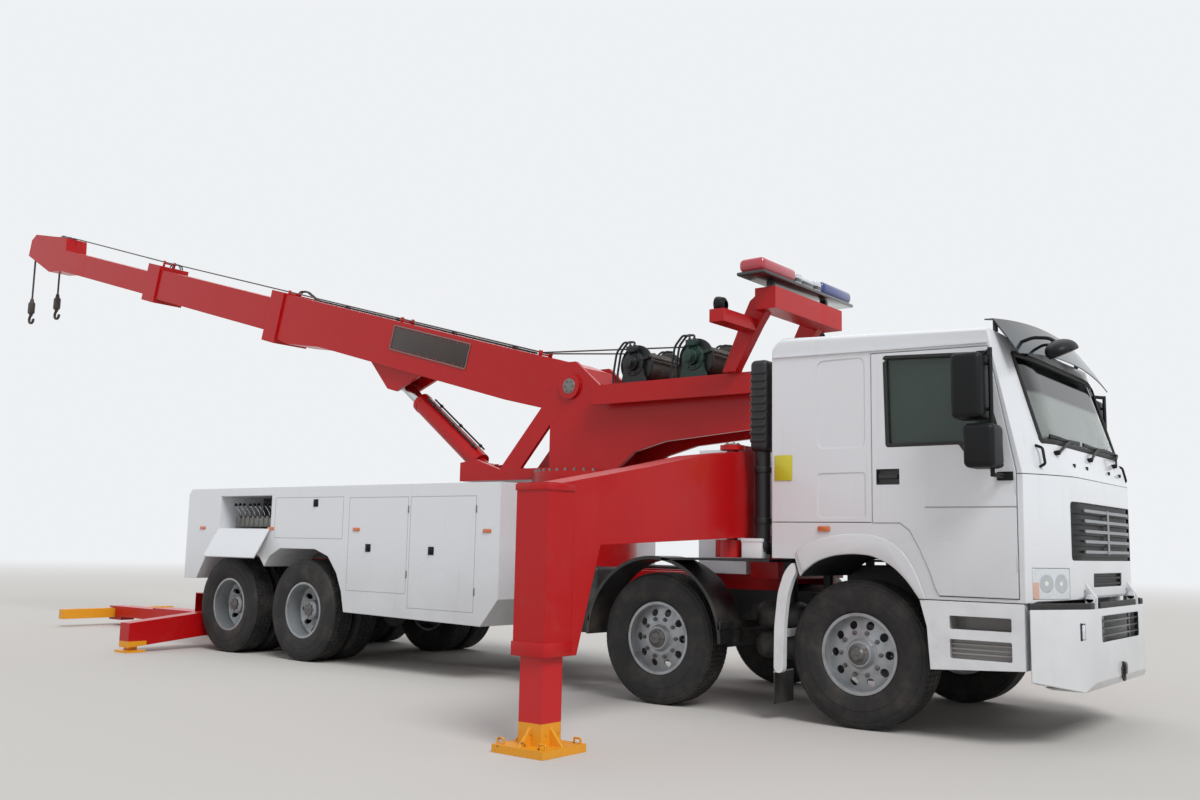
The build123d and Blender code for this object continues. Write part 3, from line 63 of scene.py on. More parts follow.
class Value:
    """A shader socket that takes Python's arithmetic."""

    def __init__(self, finish, socket):
        self.finish, self.socket = finish, socket

    def math(self, operation, *others):
        return self.finish.node("ShaderNodeMath", {"operation": operation}, *others)

    def __add__(self, other):
        return self.math("ADD", self, other)

    def __sub__(self, other):
        return self.math("SUBTRACT", self, other)

    def __rsub__(self, other):
        return self.math("SUBTRACT", other, self)

    def __mul__(self, other):
        return self.math("MULTIPLY", self, other)

    def __abs__(self):
        return self.math("ABSOLUTE", self)

    __radd__, __rmul__ = __add__, __mul__

    def above(self, low, high):
        """0 below low, 1 over high, and a smooth step between."""
        settings = {"interpolation_type": "SMOOTHSTEP"}
        return self.finish.node("ShaderNodeMapRange", settings, self, low, high, 0.0, 1.0)

    def within(self, low, high, soft=0.001):
        """1 from low to high and 0 outside."""
        return self.above(low - soft, low) * (1 - self.above(high, high + soft))


class Finish:
    """One material, whose patterns are placed by the chassis drawing in metres."""

    def __init__(self, name):
        self.material = bpy.data.materials.new(name)
        self.material.use_nodes = True
        self.tree = self.material.node_tree
        self.tree.nodes.clear()
        self.place = self.node("ShaderNodeTexCoord", {}, output="Object")
        self.forward = self.axis("X") - FRONT_AXLE
        self.left = self.axis("Y")
        self.aside = abs(self.left)
        self.up = self.axis("Z")

    def node(self, kind, settings, *values, output=0, **named):
        """Adds a node with its settings and its sockets' values, and gives one of its outputs."""
        made = self.tree.nodes.new(kind)
        for key, value in settings.items():
            setattr(made, key, value)
        sockets = [*enumerate(values), *((key.replace("_", " "), value) for key, value in named.items())]
        for key, value in sockets:
            if isinstance(value, Value):
                self.tree.links.new(value.socket, made.inputs[key])
            else:
                made.inputs[key].default_value = value
        return Value(self, made.outputs[output] if made.outputs else None)

    def noise(self, scale, detail=3.0, rough=0.55, stretch=(1, 1, 1)):
        place = self.node("ShaderNodeMapping", {}, Vector=self.place, Scale=stretch)
        return self.node("ShaderNodeTexNoise", {}, Vector=place, Scale=scale, Detail=detail, Roughness=rough)

    def axis(self, name):
        return self.node("ShaderNodeSeparateXYZ", {}, self.place, output="XYZ".index(name))

    def mix(self, factor, first, second):
        made = self.node("ShaderNodeMix", {"data_type": "RGBA"})
        mixer = made.socket.node
        for key, value in ((0, factor), (6, first), (7, second)):
            if isinstance(value, Value):
                self.tree.links.new(value.socket, mixer.inputs[key])
            else:
                mixer.inputs[key].default_value = value
        return Value(self, mixer.outputs[2])

    def skin(self, round_edge=0.006, height=None, strength=0.1, distance=0.002, **sockets):
        """Closes the material: edges rounded by round_edge metres, and a bump from height."""
        normal = self.node("ShaderNodeBevel", {"samples": 4}, Radius=round_edge)
        if height is not None:
            sizes = {"Strength": strength, "Distance": distance, "Height": height, "Normal": normal}
            normal = self.node("ShaderNodeBump", {}, **sizes)
        surface = self.node("ShaderNodeBsdfPrincipled", {}, Normal=normal, **sockets)
        self.node("ShaderNodeOutputMaterial", {}, Surface=surface)
        return self.material


def rgb(code):
    """Linear colour of a six-digit paint code."""
    parts = [int(code[i : i + 2], 16) / 255 for i in (0, 2, 4)]
    return (*[c / 12.92 if c <= 0.04045 else ((c + 0.055) / 1.055) ** 2.4 for c in parts], 1.0)


def dress(material, *nodes):
    """Gives the CAD nodes this material."""
    for name in nodes:
        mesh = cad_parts[name].data
        mesh.materials.clear()
        mesh.materials.append(material)


def both(name):
    return [f"{name}_{side}" for side in SIDES]


paint = Finish("frame_black")
dust = paint.noise(5.0, 5.0).above(0.4, 0.8) * (1 - paint.up.above(0.4, 1.6))
frame_black = paint.skin(
    Base_Color=paint.mix(dust * 0.6, rgb("1E2022"), rgb("6A645B")),
    Roughness=0.5 + dust * 0.3,
    height=paint.noise(40.0),
    strength=0.15,
)
dress(frame_black, "chassis_frame", "axles", "engine_block")
dress(frame_black, *[f"knuckle_{axle}_{side}" for axle in ("front", "second") for side in SIDES])

# Tyres: radial truck tyres of black rubber with five rows of tread blocks, a scuff rib round each
# sidewall and brown dust in the tread. The driven axles carry them in pairs.
AXLES = {"front": 0, "second": -1800, "third": -6400, "fourth": -7750}
AXLE_Z = 538
SINGLE_Y = 1025
TWIN_YS = (1090, 750)
SIDEWALL = [
    (113, 286), (114, 300), (122, 303), (130, 312), (138, 332), (144, 360), (147, 385), (149.6, 398),
    (149.6, 406), (146.5, 410), (146.5, 440), (144, 470), (139, 490), (135, 494), (137, 499), (133, 512),
    (122, 526),
]
TREAD_RIBS = [(116, 84), (72, 28), (17, -17), (-28, -72), (-84, -116)]
TREAD_BASE_R = 529
GROOVE_R = 523
BLOCK_H = 8.5


def turned(form, outline, middle, steps, closed=False):
    """Spins an outline of (offset outward, radius) round a wheel's axle at middle, across the truck."""
    points = [form.verts.new((0, y, r)) for y, r in outline]
    pairs = zip(points, points[1:] + points[:1] if closed else points[1:])
    chain = points + [form.edges.new(pair) for pair in pairs]
    made = bmesh.ops.spin(
        form, geom=chain, cent=(0, 0, 0), axis=(0, 1, 0), angle=2 * math.pi, steps=steps, use_merge=True
    )
    ends = [item for item in made["geom_last"] if isinstance(item, bmesh.types.BMVert)]
    reach = {vert for start in {*points, *ends} for vert in spread(start)}
    bmesh.ops.translate(form, verts=list(reach), vec=middle)
    return reach


def spread(start):
    """All the corners that edges join to this one."""
    found, edge = {start}, [start]
    while edge:
        for link in edge.pop().link_edges:
            for vert in link.verts:
                if vert not in found:
                    found.add(vert)
                    edge.append(vert)
    return found


def placed(form, name, body, *materials, crease=32):
    """Sets a form, drawn in millimetres, in the truck as a named piece that moves with a body."""
    bmesh.ops.transform(form, matrix=DRAWING, verts=form.verts)
    for face in form.faces:
        face.smooth = True
    for edge in form.edges:
        edge.smooth = edge.calc_face_angle(0) < math.radians(crease)
    mesh = bpy.data.meshes.new(name)
    form.to_mesh(mesh)
    form.free()
    for material in materials:
        mesh.materials.append(material)
    piece = bpy.data.objects.new(name, mesh)
    bpy.context.scene.collection.objects.link(piece)
    if body:
        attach(piece, body)
    return piece


paint = Finish("tyre_rubber")
sidewall_dust = paint.noise(6.0, 5.0).above(0.42, 0.8)
tread_dust = paint.noise(30.0, 4.0).above(0.45, 0.7)
rubber = paint.skin(
    Base_Color=paint.mix(sidewall_dust * 0.35 + tread_dust * 0.2, rgb("18181A"), rgb("5A534A")),
    Roughness=0.68 + tread_dust * 0.2,
    height=paint.noise(90.0),
    strength=0.2,
    round_edge=0.002,
)
tread = []
for outer, inner in TREAD_RIBS:
    tread += [(outer + 3, GROOVE_R), (outer, TREAD_BASE_R), (inner, TREAD_BASE_R), (inner - 3, GROOVE_R)]
tyre_outline = SIDEWALL + tread[1:-1] + [(-a, r) for a, r in reversed(SIDEWALL)]


def tyre(form, x, y):
    """Adds one tyre: its section spun round the axle, and a block raised on each rib of tread."""
    start = len(form.faces)
    turned(form, tyre_outline, (x, y, AXLE_Z), 84, closed=True)
    form.faces.ensure_lookup_table()
    ribs = []
    for face in form.faces[start:]:
        spans = [math.hypot(v.co.x - x, v.co.z - AXLE_Z) for v in face.verts]
        if min(spans) > TREAD_BASE_R - 2:
            ribs.append(face)
    bmesh.ops.recalc_face_normals(form, faces=form.faces[start:])
    bmesh.ops.inset_individual(form, faces=ribs, thickness=3.2, depth=BLOCK_H, use_even_offset=True)


for axle, x in AXLES.items():
    for side, out in SIDES.items():
        form = bmesh.new()
        for y in [SINGLE_Y] if axle in ("front", "second") else TWIN_YS:
            tyre(form, x, out * y)
        piece = placed(form, f"tread_{axle}_{side}", f"wheel_{axle}_{side}", rubber)
        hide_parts(f"tyre_{axle}_{side}")

# Wheels: pressed steel discs with ten hand holes, sprayed silver, held by ten nuts. Dust and rust
# gather round the nuts. The front hubs end in a cap, the driven ones in a bolted planet cover.
paint = Finish("silver_rim")
dust = paint.noise(9.0, 5.0).above(0.42, 0.8)
silver = paint.skin(
    Base_Color=paint.mix(dust * 0.5, rgb("A4A8AB"), rgb("6E665D")),
    Roughness=0.38 + dust * 0.3,
    Metallic=0.5,
    height=paint.noise(60.0),
    strength=0.1,
)
dress(silver, *[f"rim_{axle}_{side}" for axle in AXLES for side in SIDES])

paint = Finish("nut_steel")
rust = paint.noise(40.0, 5.0).above(0.42, 0.7)
nut_steel = paint.skin(
    Base_Color=paint.mix(rust * 0.6, rgb("6E6F70"), rgb("5B4232")), Roughness=0.45 + rust * 0.3, Metallic=0.6
)


def ringed(count, radius, first=0.0):
    """Offsets of count bolts spaced evenly on a circle, starting at first degrees."""
    for i in range(count):
        turn = math.radians(360 * i / count + first)
        yield radius * math.cos(turn), radius * math.sin(turn)


def rod(form, start, end, radius, sides=20, end_radius=None, edge=0):
    """Adds a round bar from start to end, with both rims bevelled by edge."""
    start, end = Vector(start), Vector(end)
    turn = (end - start).to_track_quat("Z", "Y").to_matrix().to_4x4()
    made = bmesh.ops.create_cone(
        form, cap_ends=True, segments=sides, radius1=radius, depth=(end - start).length,
        radius2=radius if end_radius is None else end_radius,
        matrix=Matrix.Translation((start + end) / 2) @ turn,
    )
    if edge:
        rims = {link for vert in made["verts"] for link in vert.link_edges}
        axis = (end - start).normalized()
        rims = [rim for rim in rims if abs((rim.verts[0].co - rim.verts[1].co).normalized().dot(axis)) < 0.5]
        bmesh.ops.bevel(form, geom=rims, offset=edge, affect="EDGES", segments=2, profile=0.5, material=-1)


for axle, x in AXLES.items():
    driven = axle in ("third", "fourth")
    ring_r, face, stud = (143, 940, 34) if driven else (158, 1103, 30)
    for side, out in SIDES.items():
        form = bmesh.new()
        for up, along in ringed(10, ring_r, 18):
            nx, nz = x + along, AXLE_Z + up
            rod(form, (nx, out * (face - 4), nz), (nx, out * (face + 18), nz), 17, sides=6, edge=1.5)
            rod(form, (nx, out * (face + 17), nz), (nx, out * (face + stud), nz), 10, sides=12, edge=1)
        if driven:
            rod(form, (x, out * 1129, AXLE_Z), (x, out * 1144, AXLE_Z), 62, sides=32, edge=4)
            for up, along in ringed(8, 70):
                nx, nz = x + along, AXLE_Z + up
                rod(form, (nx, out * 1128, nz), (nx, out * 1138, nz), 8, sides=6, edge=1)
        else:
            cap = [(0, 78), (8, 78), (14, 70), (20, 58), (34, 52), (44, 40), (48, 0.5)]
            turned(form, [(out * a, r) for a, r in cap], (x, out * 1150, AXLE_Z), 40)
        rod(form, (x + 232, out * (face + 4), AXLE_Z), (x + 252, out * (face + 30), AXLE_Z), 6, sides=10)
        bmesh.ops.recalc_face_normals(form, faces=form.faces)
        placed(form, f"nuts_{axle}_{side}", f"wheel_{axle}_{side}", nut_steel)

# Mudguards, steps and guard strips: black moulded plastic over the second axle, white enamelled
# steel steps and guard strips at the cab, and rubber flaps with a dusty lower edge.
HALF_W = 1248
RAIL_Y = 430
SECOND_AXLE = AXLES["second"]
STEP_REAR, STEP_FRONT, STEP_LOW, STEP_TOP = 614, 1232, 482, 956
TREADS = [(768, 858, 170), (570, 700, 60)]
GUARD_STRIP = [
    (-480, 1205), (-560, 1120), (-615, 960), (-645, 700), (-650, 361), (-568, 361), (-562, 700), (-535, 930),
    (-490, 1065), (-458, 1120),
]
paint = Finish("steps_and_guards")
steps = paint.forward.above(0.5, 0.501)
strips = paint.forward.within(-0.655, -0.42) * paint.up.above(0.3605, 0.361)
white = (steps + strips) * (1 - paint.aside.within(0.0, 0.87))
# Painted shade: the inner faces of the step recesses, and the bars in them, are darkened to a brownish grey.
tread_gap = paint.forward.within(0.722, 1.147) * (paint.up.within(0.768, 0.858) + paint.up.within(0.57, 0.7))
step_recess_shade = tread_gap * (1 - paint.aside.above(1.236, 1.24))
dust = paint.noise(4.0, 5.0).above(0.4, 0.8) * (1 - paint.up.above(0.3, 1.5))
coat = paint.mix(white, rgb("17181A"), rgb("E0E2E4"))
coat = paint.mix(step_recess_shade * 0.7, coat, rgb("6A6259"))
steps_and_guards = paint.skin(
    Base_Color=paint.mix(dust * 0.35, coat, rgb("7C7468")),
    Roughness=0.4 - white * 0.12 + dust * 0.3,
    Coat_Weight=0.1,
    height=paint.noise(160.0, 2.0) * (1 - white),
    strength=0.12,
    distance=0.001,
)


def prism(form, outline, axis, low, high):
    """Adds the solid that an outline sweeps along an axis, from low to high."""
    order = {"X": (2, 0, 1), "Y": (0, 2, 1), "Z": (0, 1, 2)}[axis]
    corners = [form.verts.new([(*point, low)[i] for i in order]) for point in outline]
    base = form.faces.new(corners)
    made = bmesh.ops.extrude_face_region(form, geom=[base, *base.edges], use_keep_orig=True)["geom"]
    moved = [item for item in made if isinstance(item, bmesh.types.BMVert)]
    bmesh.ops.translate(form, verts=moved, vec=[(0, 0, high - low)[i] for i in order])
    corners += moved
    bmesh.ops.recalc_face_normals(form, faces=list({face for vert in corners for face in vert.link_faces}))
    return corners


def softened(outline, radius, steps=4, closed=True):
    """The outline with each corner rounded off."""
    points = [Vector(point) for point in outline]
    run = []
    for i, point in enumerate(points):
        if not closed and i in (0, len(points) - 1):
            run.append(tuple(point))
            continue
        before, after = points[i - 1] - point, points[(i + 1) % len(points)] - point
        start = point + before.normalized() * min(radius, before.length / 2.1)
        end = point + after.normalized() * min(radius, after.length / 2.1)
        for k in range(steps + 1):
            t = k / steps
            run.append(tuple(start * (1 - t) ** 2 + point * 2 * t * (1 - t) + end * t * t))
    return run


def oblong(x, z):
    """Outline of a rectangle, from two values each of x and z."""
    return [(x[0], z[0]), (x[1], z[0]), (x[1], z[1]), (x[0], z[1])]


def panel(x, z, radius):
    """Rounded rectangle between two pairs of limits."""
    return softened(oblong(x, z), radius)


def carve(form, tool, operation="DIFFERENCE"):
    """Cuts a form with another, or keeps what both hold."""
    blanks = []
    for shape in (form, tool):
        mesh = bpy.data.meshes.new("blank")
        shape.to_mesh(mesh)
        blanks.append(bpy.data.objects.new("blank", mesh))
        bpy.context.scene.collection.objects.link(blanks[-1])
    cut = blanks[0].modifiers.new("cut", "BOOLEAN")
    cut.object, cut.operation, cut.solver, cut.use_self = blanks[1], operation, "EXACT", True
    cutting = bpy.context.evaluated_depsgraph_get()
    form.clear()
    form.from_mesh(bpy.data.meshes.new_from_object(blanks[0].evaluated_get(cutting)))
    for blank in blanks:
        bpy.data.objects.remove(blank)
    tool.free()


def slab(form, low, high, edge=6, segments=2, turn=None):
    """Adds a block between two corners, given in any order, with every edge rounded."""
    low, high = (Vector([pick(pair) for pair in zip(low, high)]) for pick in (min, max))
    made = bmesh.ops.create_cube(form, size=1.0)
    scale = Matrix.Diagonal((*[max(b - a, 0.1) for a, b in zip(low, high)], 1))
    edges = list({link for vert in made["verts"] for link in vert.link_edges})
    bmesh.ops.transform(form, matrix=scale, verts=made["verts"])
    rounded = bmesh.ops.bevel(
        form, geom=edges, offset=edge, affect="EDGES", segments=segments, profile=0.5, material=-1
    )
    corners = list({near for face in rounded["faces"][:1] for vert in face.verts for near in spread(vert)})
    turned_to = turn.to_4x4() if turn else Matrix()
    bmesh.ops.transform(form, matrix=Matrix.Translation((low + high) / 2) @ turned_to, verts=corners)
    return corners


form = bmesh.new()
for out in (-1, 1):
    face = out * HALF_W
    sill = [
        (STEP_REAR, face), (660, out * 1000), (660, out * 880), (STEP_FRONT, out * 880), (STEP_FRONT, face)
    ]
    prism(form, sill, "Z", STEP_LOW, STEP_TOP)
    prism(form, [(512, 956), (561, 775), (583, 482), (660, 482), (660, 956)], "Y", out * 1200, face)
treads = bmesh.new()
for out in (-1, 1):
    lift = [(582, 470), (582, 484), (STEP_FRONT + 1, 519), (STEP_FRONT + 1, 470)]
    prism(treads, lift, "Y", out * 860, out * (HALF_W + 20))
    for low, high, depth in TREADS:
        prism(treads, panel((722, 1147), (low, high), 12), "Y", out * (HALF_W - depth), out * (HALF_W + 10))
carve(form, treads)
for out in (-1, 1):
    for z in (598, 630, 662):
        prism(form, oblong((722, 1147), (z, z + 12)), "Y", out * 1186, out * 1208)
    for x in (700, 1100):
        prism(form, oblong((x, x + 40), (700, 760)), "Y", out * RAIL_Y, out * 885)
    prism(form, softened(GUARD_STRIP, 50), "Y", out * 1195, out * HALF_W)
    prism(form, oblong((-650, -642), (129, 370)), "Y", out * 948, out * HALF_W)
    prism(form, oblong((-650, -620), (620, 680)), "Y", out * RAIL_Y, out * 1200)
    guard = [(676 * math.cos(math.radians(a)), 676 * math.sin(math.radians(a))) for a in range(0, 181, 6)]
    guard += [(648 * math.cos(math.radians(a)), 648 * math.sin(math.radians(a))) for a in range(180, -1, -6)]
    guard = [(SECOND_AXLE + x, AXLE_Z + z) for x, z in guard]
    prism(form, guard, "Y", out * 900, out * HALF_W)
    lip = [(-1700, 1180), (-1700, 1202), (-1420, 1208), (-690, 1208), (-690, 1188), (-1420, 1188)]
    prism(form, lip, "Y", out * 900, out * HALF_W)
    for x in (SECOND_AXLE - 662, SECOND_AXLE + 662):
        prism(form, oblong((x - 14, x + 14), (650, 710)), "Y", out * RAIL_Y, out * HALF_W)
bmesh.ops.recalc_face_normals(form, faces=form.faces)
piece = placed(form, "cab_steps_and_mudguards", "truck", steps_and_guards)
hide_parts("steps_and_fenders")

# Chassis fittings: black painted air tanks with pressed domes, battery boxes, the ribbed black air
# intake behind the cab and the bright coolant pipe beside it. Told apart by where they stand.
paint = Finish("chassis_fittings")
dust = paint.noise(5.0, 5.0).above(0.4, 0.8) * (1 - paint.up.above(0.5, 1.6))
pipe_mask = paint.forward.within(-0.945, -0.862) * paint.up.above(1.24, 1.25)
fittings = paint.skin(
    Base_Color=paint.mix(pipe_mask, paint.mix(dust * 0.6, rgb("1B1C1E"), rgb("6A645B")), rgb("A9ABAA")),
    Roughness=0.5 - pipe_mask * 0.22,
    Metallic=pipe_mask * 0.8,
    height=paint.noise(60.0),
    strength=0.12,
)


def pipe(form, points, radius, bend=60, closed=False, tall=0.0):
    """Adds a round or flattened bar along points, curved at each over the length bend."""
    points = [Vector(point) for point in points]
    run = []
    for i, point in enumerate(points):
        if not closed and i in (0, len(points) - 1):
            run.append(point)
            continue
        before, after = points[i - 1] - point, points[(i + 1) % len(points)] - point
        run += [point + before.normalized() * min(bend, before.length / 2.1), point]
        run.append(point + after.normalized() * min(bend, after.length / 2.1))
    curve = bpy.data.curves.new("run", "CURVE")
    curve.dimensions, curve.bevel_depth, curve.bevel_resolution = "3D", radius, 2
    curve.extrude, curve.use_fill_caps, curve.twist_mode = tall, True, "Z_UP"
    spline = curve.splines.new("NURBS")
    spline.points.add(len(run) - 1)
    for control, point in zip(spline.points, run):
        control.co = (*point, 1)
    spline.order_u, spline.resolution_u = 3, 4
    spline.use_cyclic_u, spline.use_endpoint_u = closed, not closed
    shaper = bpy.data.objects.new("run", curve)
    form.from_mesh(bpy.data.meshes.new_from_object(shaper))
    bpy.data.objects.remove(shaper)


DUCT_X, DUCT_Y = -800, -1150
form = bmesh.new()
for out in (-1, 1):
    for z in (520, 760):
        rod(form, (-1010, out * 700, z), (-710, out * 700, z), 110, sides=40)
        for x, bulge in ((-1010, -1), (-710, 1)):
            dome = [(0, 110), (30, 104), (58, 86), (76, 58), (84, 0.5)]
            rings = [(x + bulge * a, r) for a, r in dome]
            for (xa, ra), (xb, rb) in zip(rings, rings[1:]):
                rod(form, (xa, out * 700, z), (xb, out * 700, z), ra, sides=40, end_radius=rb)
    slab(form, (-1080, out * RAIL_Y, 500), (-700, out * 600, 800), edge=12)
    slab(form, (-3300, out * 640, 520), (-2560, out * 1005, 1100), edge=34, segments=4)
    slab(form, (-3100, out * RAIL_Y, 700), (-2700, out * 641, 800), edge=6)
slab(form, (-876, DUCT_Y - 90, 2048), (-721, DUCT_Y + 90, 2777), edge=42, segments=5)
for z in range(2120, 2720, 60):
    slab(form, (-866, DUCT_Y - 97, z), (-731, DUCT_Y - 80, z + 26), edge=6)
rod(form, (DUCT_X, DUCT_Y, 2051), (DUCT_X, DUCT_Y, 1270), 60, sides=36)
for z in (1290, 1480, 1880):
    rod(form, (DUCT_X, DUCT_Y, z), (DUCT_X, DUCT_Y, z + 50), 68, sides=36, edge=6)
rod(form, (DUCT_X, DUCT_Y, 1290), (DUCT_X, -700, 1290), 55, sides=36)
rod(form, (DUCT_X, -700, 1345), (DUCT_X, -700, 860), 55, sides=36)
bmesh.ops.recalc_face_normals(form, faces=form.faces)
pipe(form, [(-900, -1000, 1290), (-900, -1000, 2190), (-900, -820, 2190)], 34, 90)
rod(form, (-900, -1000, 1290), (-800, -960, 1290), 34)
piece = placed(form, "tanks_and_intake", "truck", fittings)
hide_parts("chassis_equipment")

# Cab: pressed steel panels spot-welded together and sprayed white, 60 mm deep with their frames.
# The front curves back to flat sides, the arch is flared, and the hood and corner seams are sealed.
WALL = 60
SCREEN_HALF_W, SCREEN_LOW, SCREEN_TOP = 985, 2075, 2685
GRILLE_HALF_W, GRILLE_LOW, GRILLE_TOP = 800, 1250, 1655
INTAKE_HALF_W, INTAKE_LOW, INTAKE_TOP = 385, 1063, 1160
LAMP_LOW, LAMP_TOP, LAMP_INNER, LAMP_OUTER = 988, 1197, 830, 1182
FRONT_PROFILE = [
    (985, 1435), (1000, 1450), (1500, 1460), (1827, 1445), (2050, 1345), (2700, 1152), (2854, 1052),
]
ARCH = [
    (510, 962), (420, 1087), (310, 1188), (159, 1256), (0, 1266), (-157, 1249), (-300, 1200), (-400, 1118),
]
FLARE = [
    (-455, 1270), (-385, 1325), (-217, 1386), (-16, 1415), (180, 1408), (331, 1348), (441, 1236), (512, 1099),
    (558, 962),
]
ROOF = [(-665, 1220), (-665, 2874), (-605, 2934)]
CAVITY = [
    (-605, 1390), (-605, 2824), (-555, 2874), (1022, 2794), (1086, 2680), (1279, 2030), (1385, 1807),
    (1385, 1270),
    (1230, 1230), (1230, 1022), (740, 1022), (560, 1390),
]
DOOR = [
    (160, 1490), (160, 2740), (1030, 2720), (1150, 2123), (1205, 1850), (1205, 985), (655, 985), (628, 1034),
    (586, 1153), (516, 1307), (444, 1437), (371, 1490),
]
DOOR_WINDOW = [(285, 2050), (270, 2700), (940, 2670), (1105, 2040), (1112, 1880), (940, 1880), (820, 2050)]
HINGE_X = 1199
paint = Finish("cab_enamel")
hood_seam = paint.up.within(1.824, 1.83) * paint.forward.above(1.2, 1.201)
side_seam = paint.up.within(1.492, 1.498) * (1 - paint.forward.above(0.154, 0.155))
seam = (hood_seam + side_seam).above(0.3, 0.6)
underbody = (1 - paint.aside.above(1.232, 1.236)) * (1 - paint.up.above(1.278, 1.28))
underbody = underbody * (1 - paint.forward.above(0.95, 0.951))


def road_film(low, high, dusty, streaked):
    """Dust thrown up on the panels, thickest below low, and rain streaks down them."""
    film = (1 - paint.up.above(low, high)) * (paint.noise(2.2, 4.0) * 0.8 + 0.1)
    return film * dusty + paint.noise(1.6, 4.0, stretch=(9, 9, 0.5)).above(0.58, 0.8) * streaked


soil = road_film(0.8, 1.7, 0.5, 0.12)
base = paint.mix(soil, rgb("E0E2E5"), rgb("8E8A82"))
base = paint.mix((seam * 0.8 + underbody).above(0.1, 0.9), base, rgb("202224"))
cab_enamel = paint.skin(
    Base_Color=base,
    Roughness=0.24 + soil * 0.4 + underbody * 0.3,
    Coat_Weight=0.35,
    height=paint.noise(1.3, 2.0) - seam * 0.6,
    strength=0.14,
    distance=0.004,
    round_edge=0.01,
)


def curve_x(y, z):
    """The front's curve in plan, from its flat middle round to the sides."""
    middle = 1462 - max(z - 1827, 0) * 0.3214
    corner = 1235 + (z - 800) * 0.0039 if z < 1827 else 1239 - (z - 1827) * 0.2165
    u = max(abs(y) - 400, 0) / 424
    return middle - 45 * u * (2 - u) - (middle - corner) * u * (u - 1) / 2


def front(y, z, proud=0):
    """Point on the cab's front, proud of it by that many millimetres."""
    profile = FRONT_PROFILE[0][1]
    for (low, start), (high, end) in zip(FRONT_PROFILE, FRONT_PROFILE[1:]):
        if z > low:
            profile = start + (min(z, high) - low) / (high - low) * (end - start)
    return (min(profile, curve_x(y, z)) + proud, y, z)


def cab_plan(inset):
    """Solid of the cab's plan, drawn in by inset: flat sides and the curved front."""
    form = bmesh.new()
    half = HALF_W - inset
    ys = [*range(-1240, -400, 60), -400, 400, *range(460, 1241, 60)]
    outline = [(-1400, -half), *[(curve_x(y, 800) - inset, y) for y in ys if abs(y) < half], (-1400, half)]
    for low, high in ((800, 1827), (1827, 3000)):
        made = prism(form, outline, "Z", low, high)
        for vert in made:
            if vert.co.x > 0:
                vert.co.x = curve_x(vert.co.y, vert.co.z) - inset
    bmesh.ops.remove_doubles(form, verts=form.verts, dist=0.01)
    inner = [face for face in form.faces if abs(face.calc_center_median().z - 1827) < 1]
    bmesh.ops.delete(form, geom=inner, context="FACES")
    return form


def wrapped(form, corners, step=55):
    """Bends what was drawn flat, with X as its depth, onto the cab's curved front."""
    edges = {link for vert in corners for link in vert.link_edges}
    faces = {link for vert in corners for link in vert.link_faces}
    lowest, highest = min(vert.co.y for vert in corners), max(vert.co.y for vert in corners)
    parts = [*corners, *edges, *faces]
    for i in range(1, math.ceil((highest - lowest) / step)):
        cut = bmesh.ops.bisect_plane(form, geom=parts, plane_co=(0, lowest + i * step, 0), plane_no=(0, 1, 0))
        parts = list({*cut["geom"], *cut["geom_cut"]})
    for vert in {item for item in parts if isinstance(item, bmesh.types.BMVert)}:
        vert.co.x += front(vert.co.y, vert.co.z)[0]


def front_block(form, y, z, depth, radius=20):
    """Adds a rounded block let into the front between two depths below its skin."""
    wrapped(form, prism(form, panel(y, z, radius), "X", -depth[1], -depth[0]))


shell = bmesh.new()
outline = [*ROOF, *[(x, z) for z, x in reversed(FRONT_PROFILE)], (1290, 975), (1270, 962)]
outline += [*softened(ARCH, 60, closed=False), (-425, 1090), (-440, 1130), (-467, 1220)]
prism(shell, outline, "Y", -HALF_W, HALF_W)
edges = [
    edge for edge in shell.edges
    if all(abs(abs(vert.co.y) - HALF_W) < 1 and vert.co.z > 2840 for vert in edge.verts)
]
bmesh.ops.bevel(shell, geom=edges, offset=55, affect="EDGES", segments=6, profile=0.5, material=-1)
carve(shell, cab_plan(0), "INTERSECT")
hollow = bmesh.new()
prism(hollow, CAVITY, "Y", WALL - HALF_W, HALF_W - WALL)
carve(hollow, cab_plan(WALL), "INTERSECT")
carve(shell, hollow)
openings = bmesh.new()
for out in (-1, 1):
    prism(openings, DOOR, "Y", out * (HALF_W - WALL - 5), out * (HALF_W + 20))
    for span, corner in (((2047, 2716), 60), ((1530, 1860), 25)):
        prism(openings, panel((-277, 109), span, corner), "Y", out * (HALF_W - 8), out * (HALF_W + 20))
    prism(openings, oblong((1250, 1520), (LAMP_LOW, LAMP_TOP)), "Y", out * LAMP_INNER, out * LAMP_OUTER)
    prism(openings, oblong((1395, 1475), (950, 1045)), "Y", out * 505, out * 635)
prism(openings, oblong((-700, 1190), (950, 1300)), "Y", -370, 370)
for half, low, high, depth, corner in (
    (SCREEN_HALF_W, SCREEN_LOW, SCREEN_TOP, 200, 70), (GRILLE_HALF_W, GRILLE_LOW, GRILLE_TOP, 40, 30),
    (INTAKE_HALF_W, INTAKE_LOW, INTAKE_TOP, 40, 15),
):
    front_block(openings, (-half, half), (low, high), (-60, depth), corner)
carve(shell, openings)
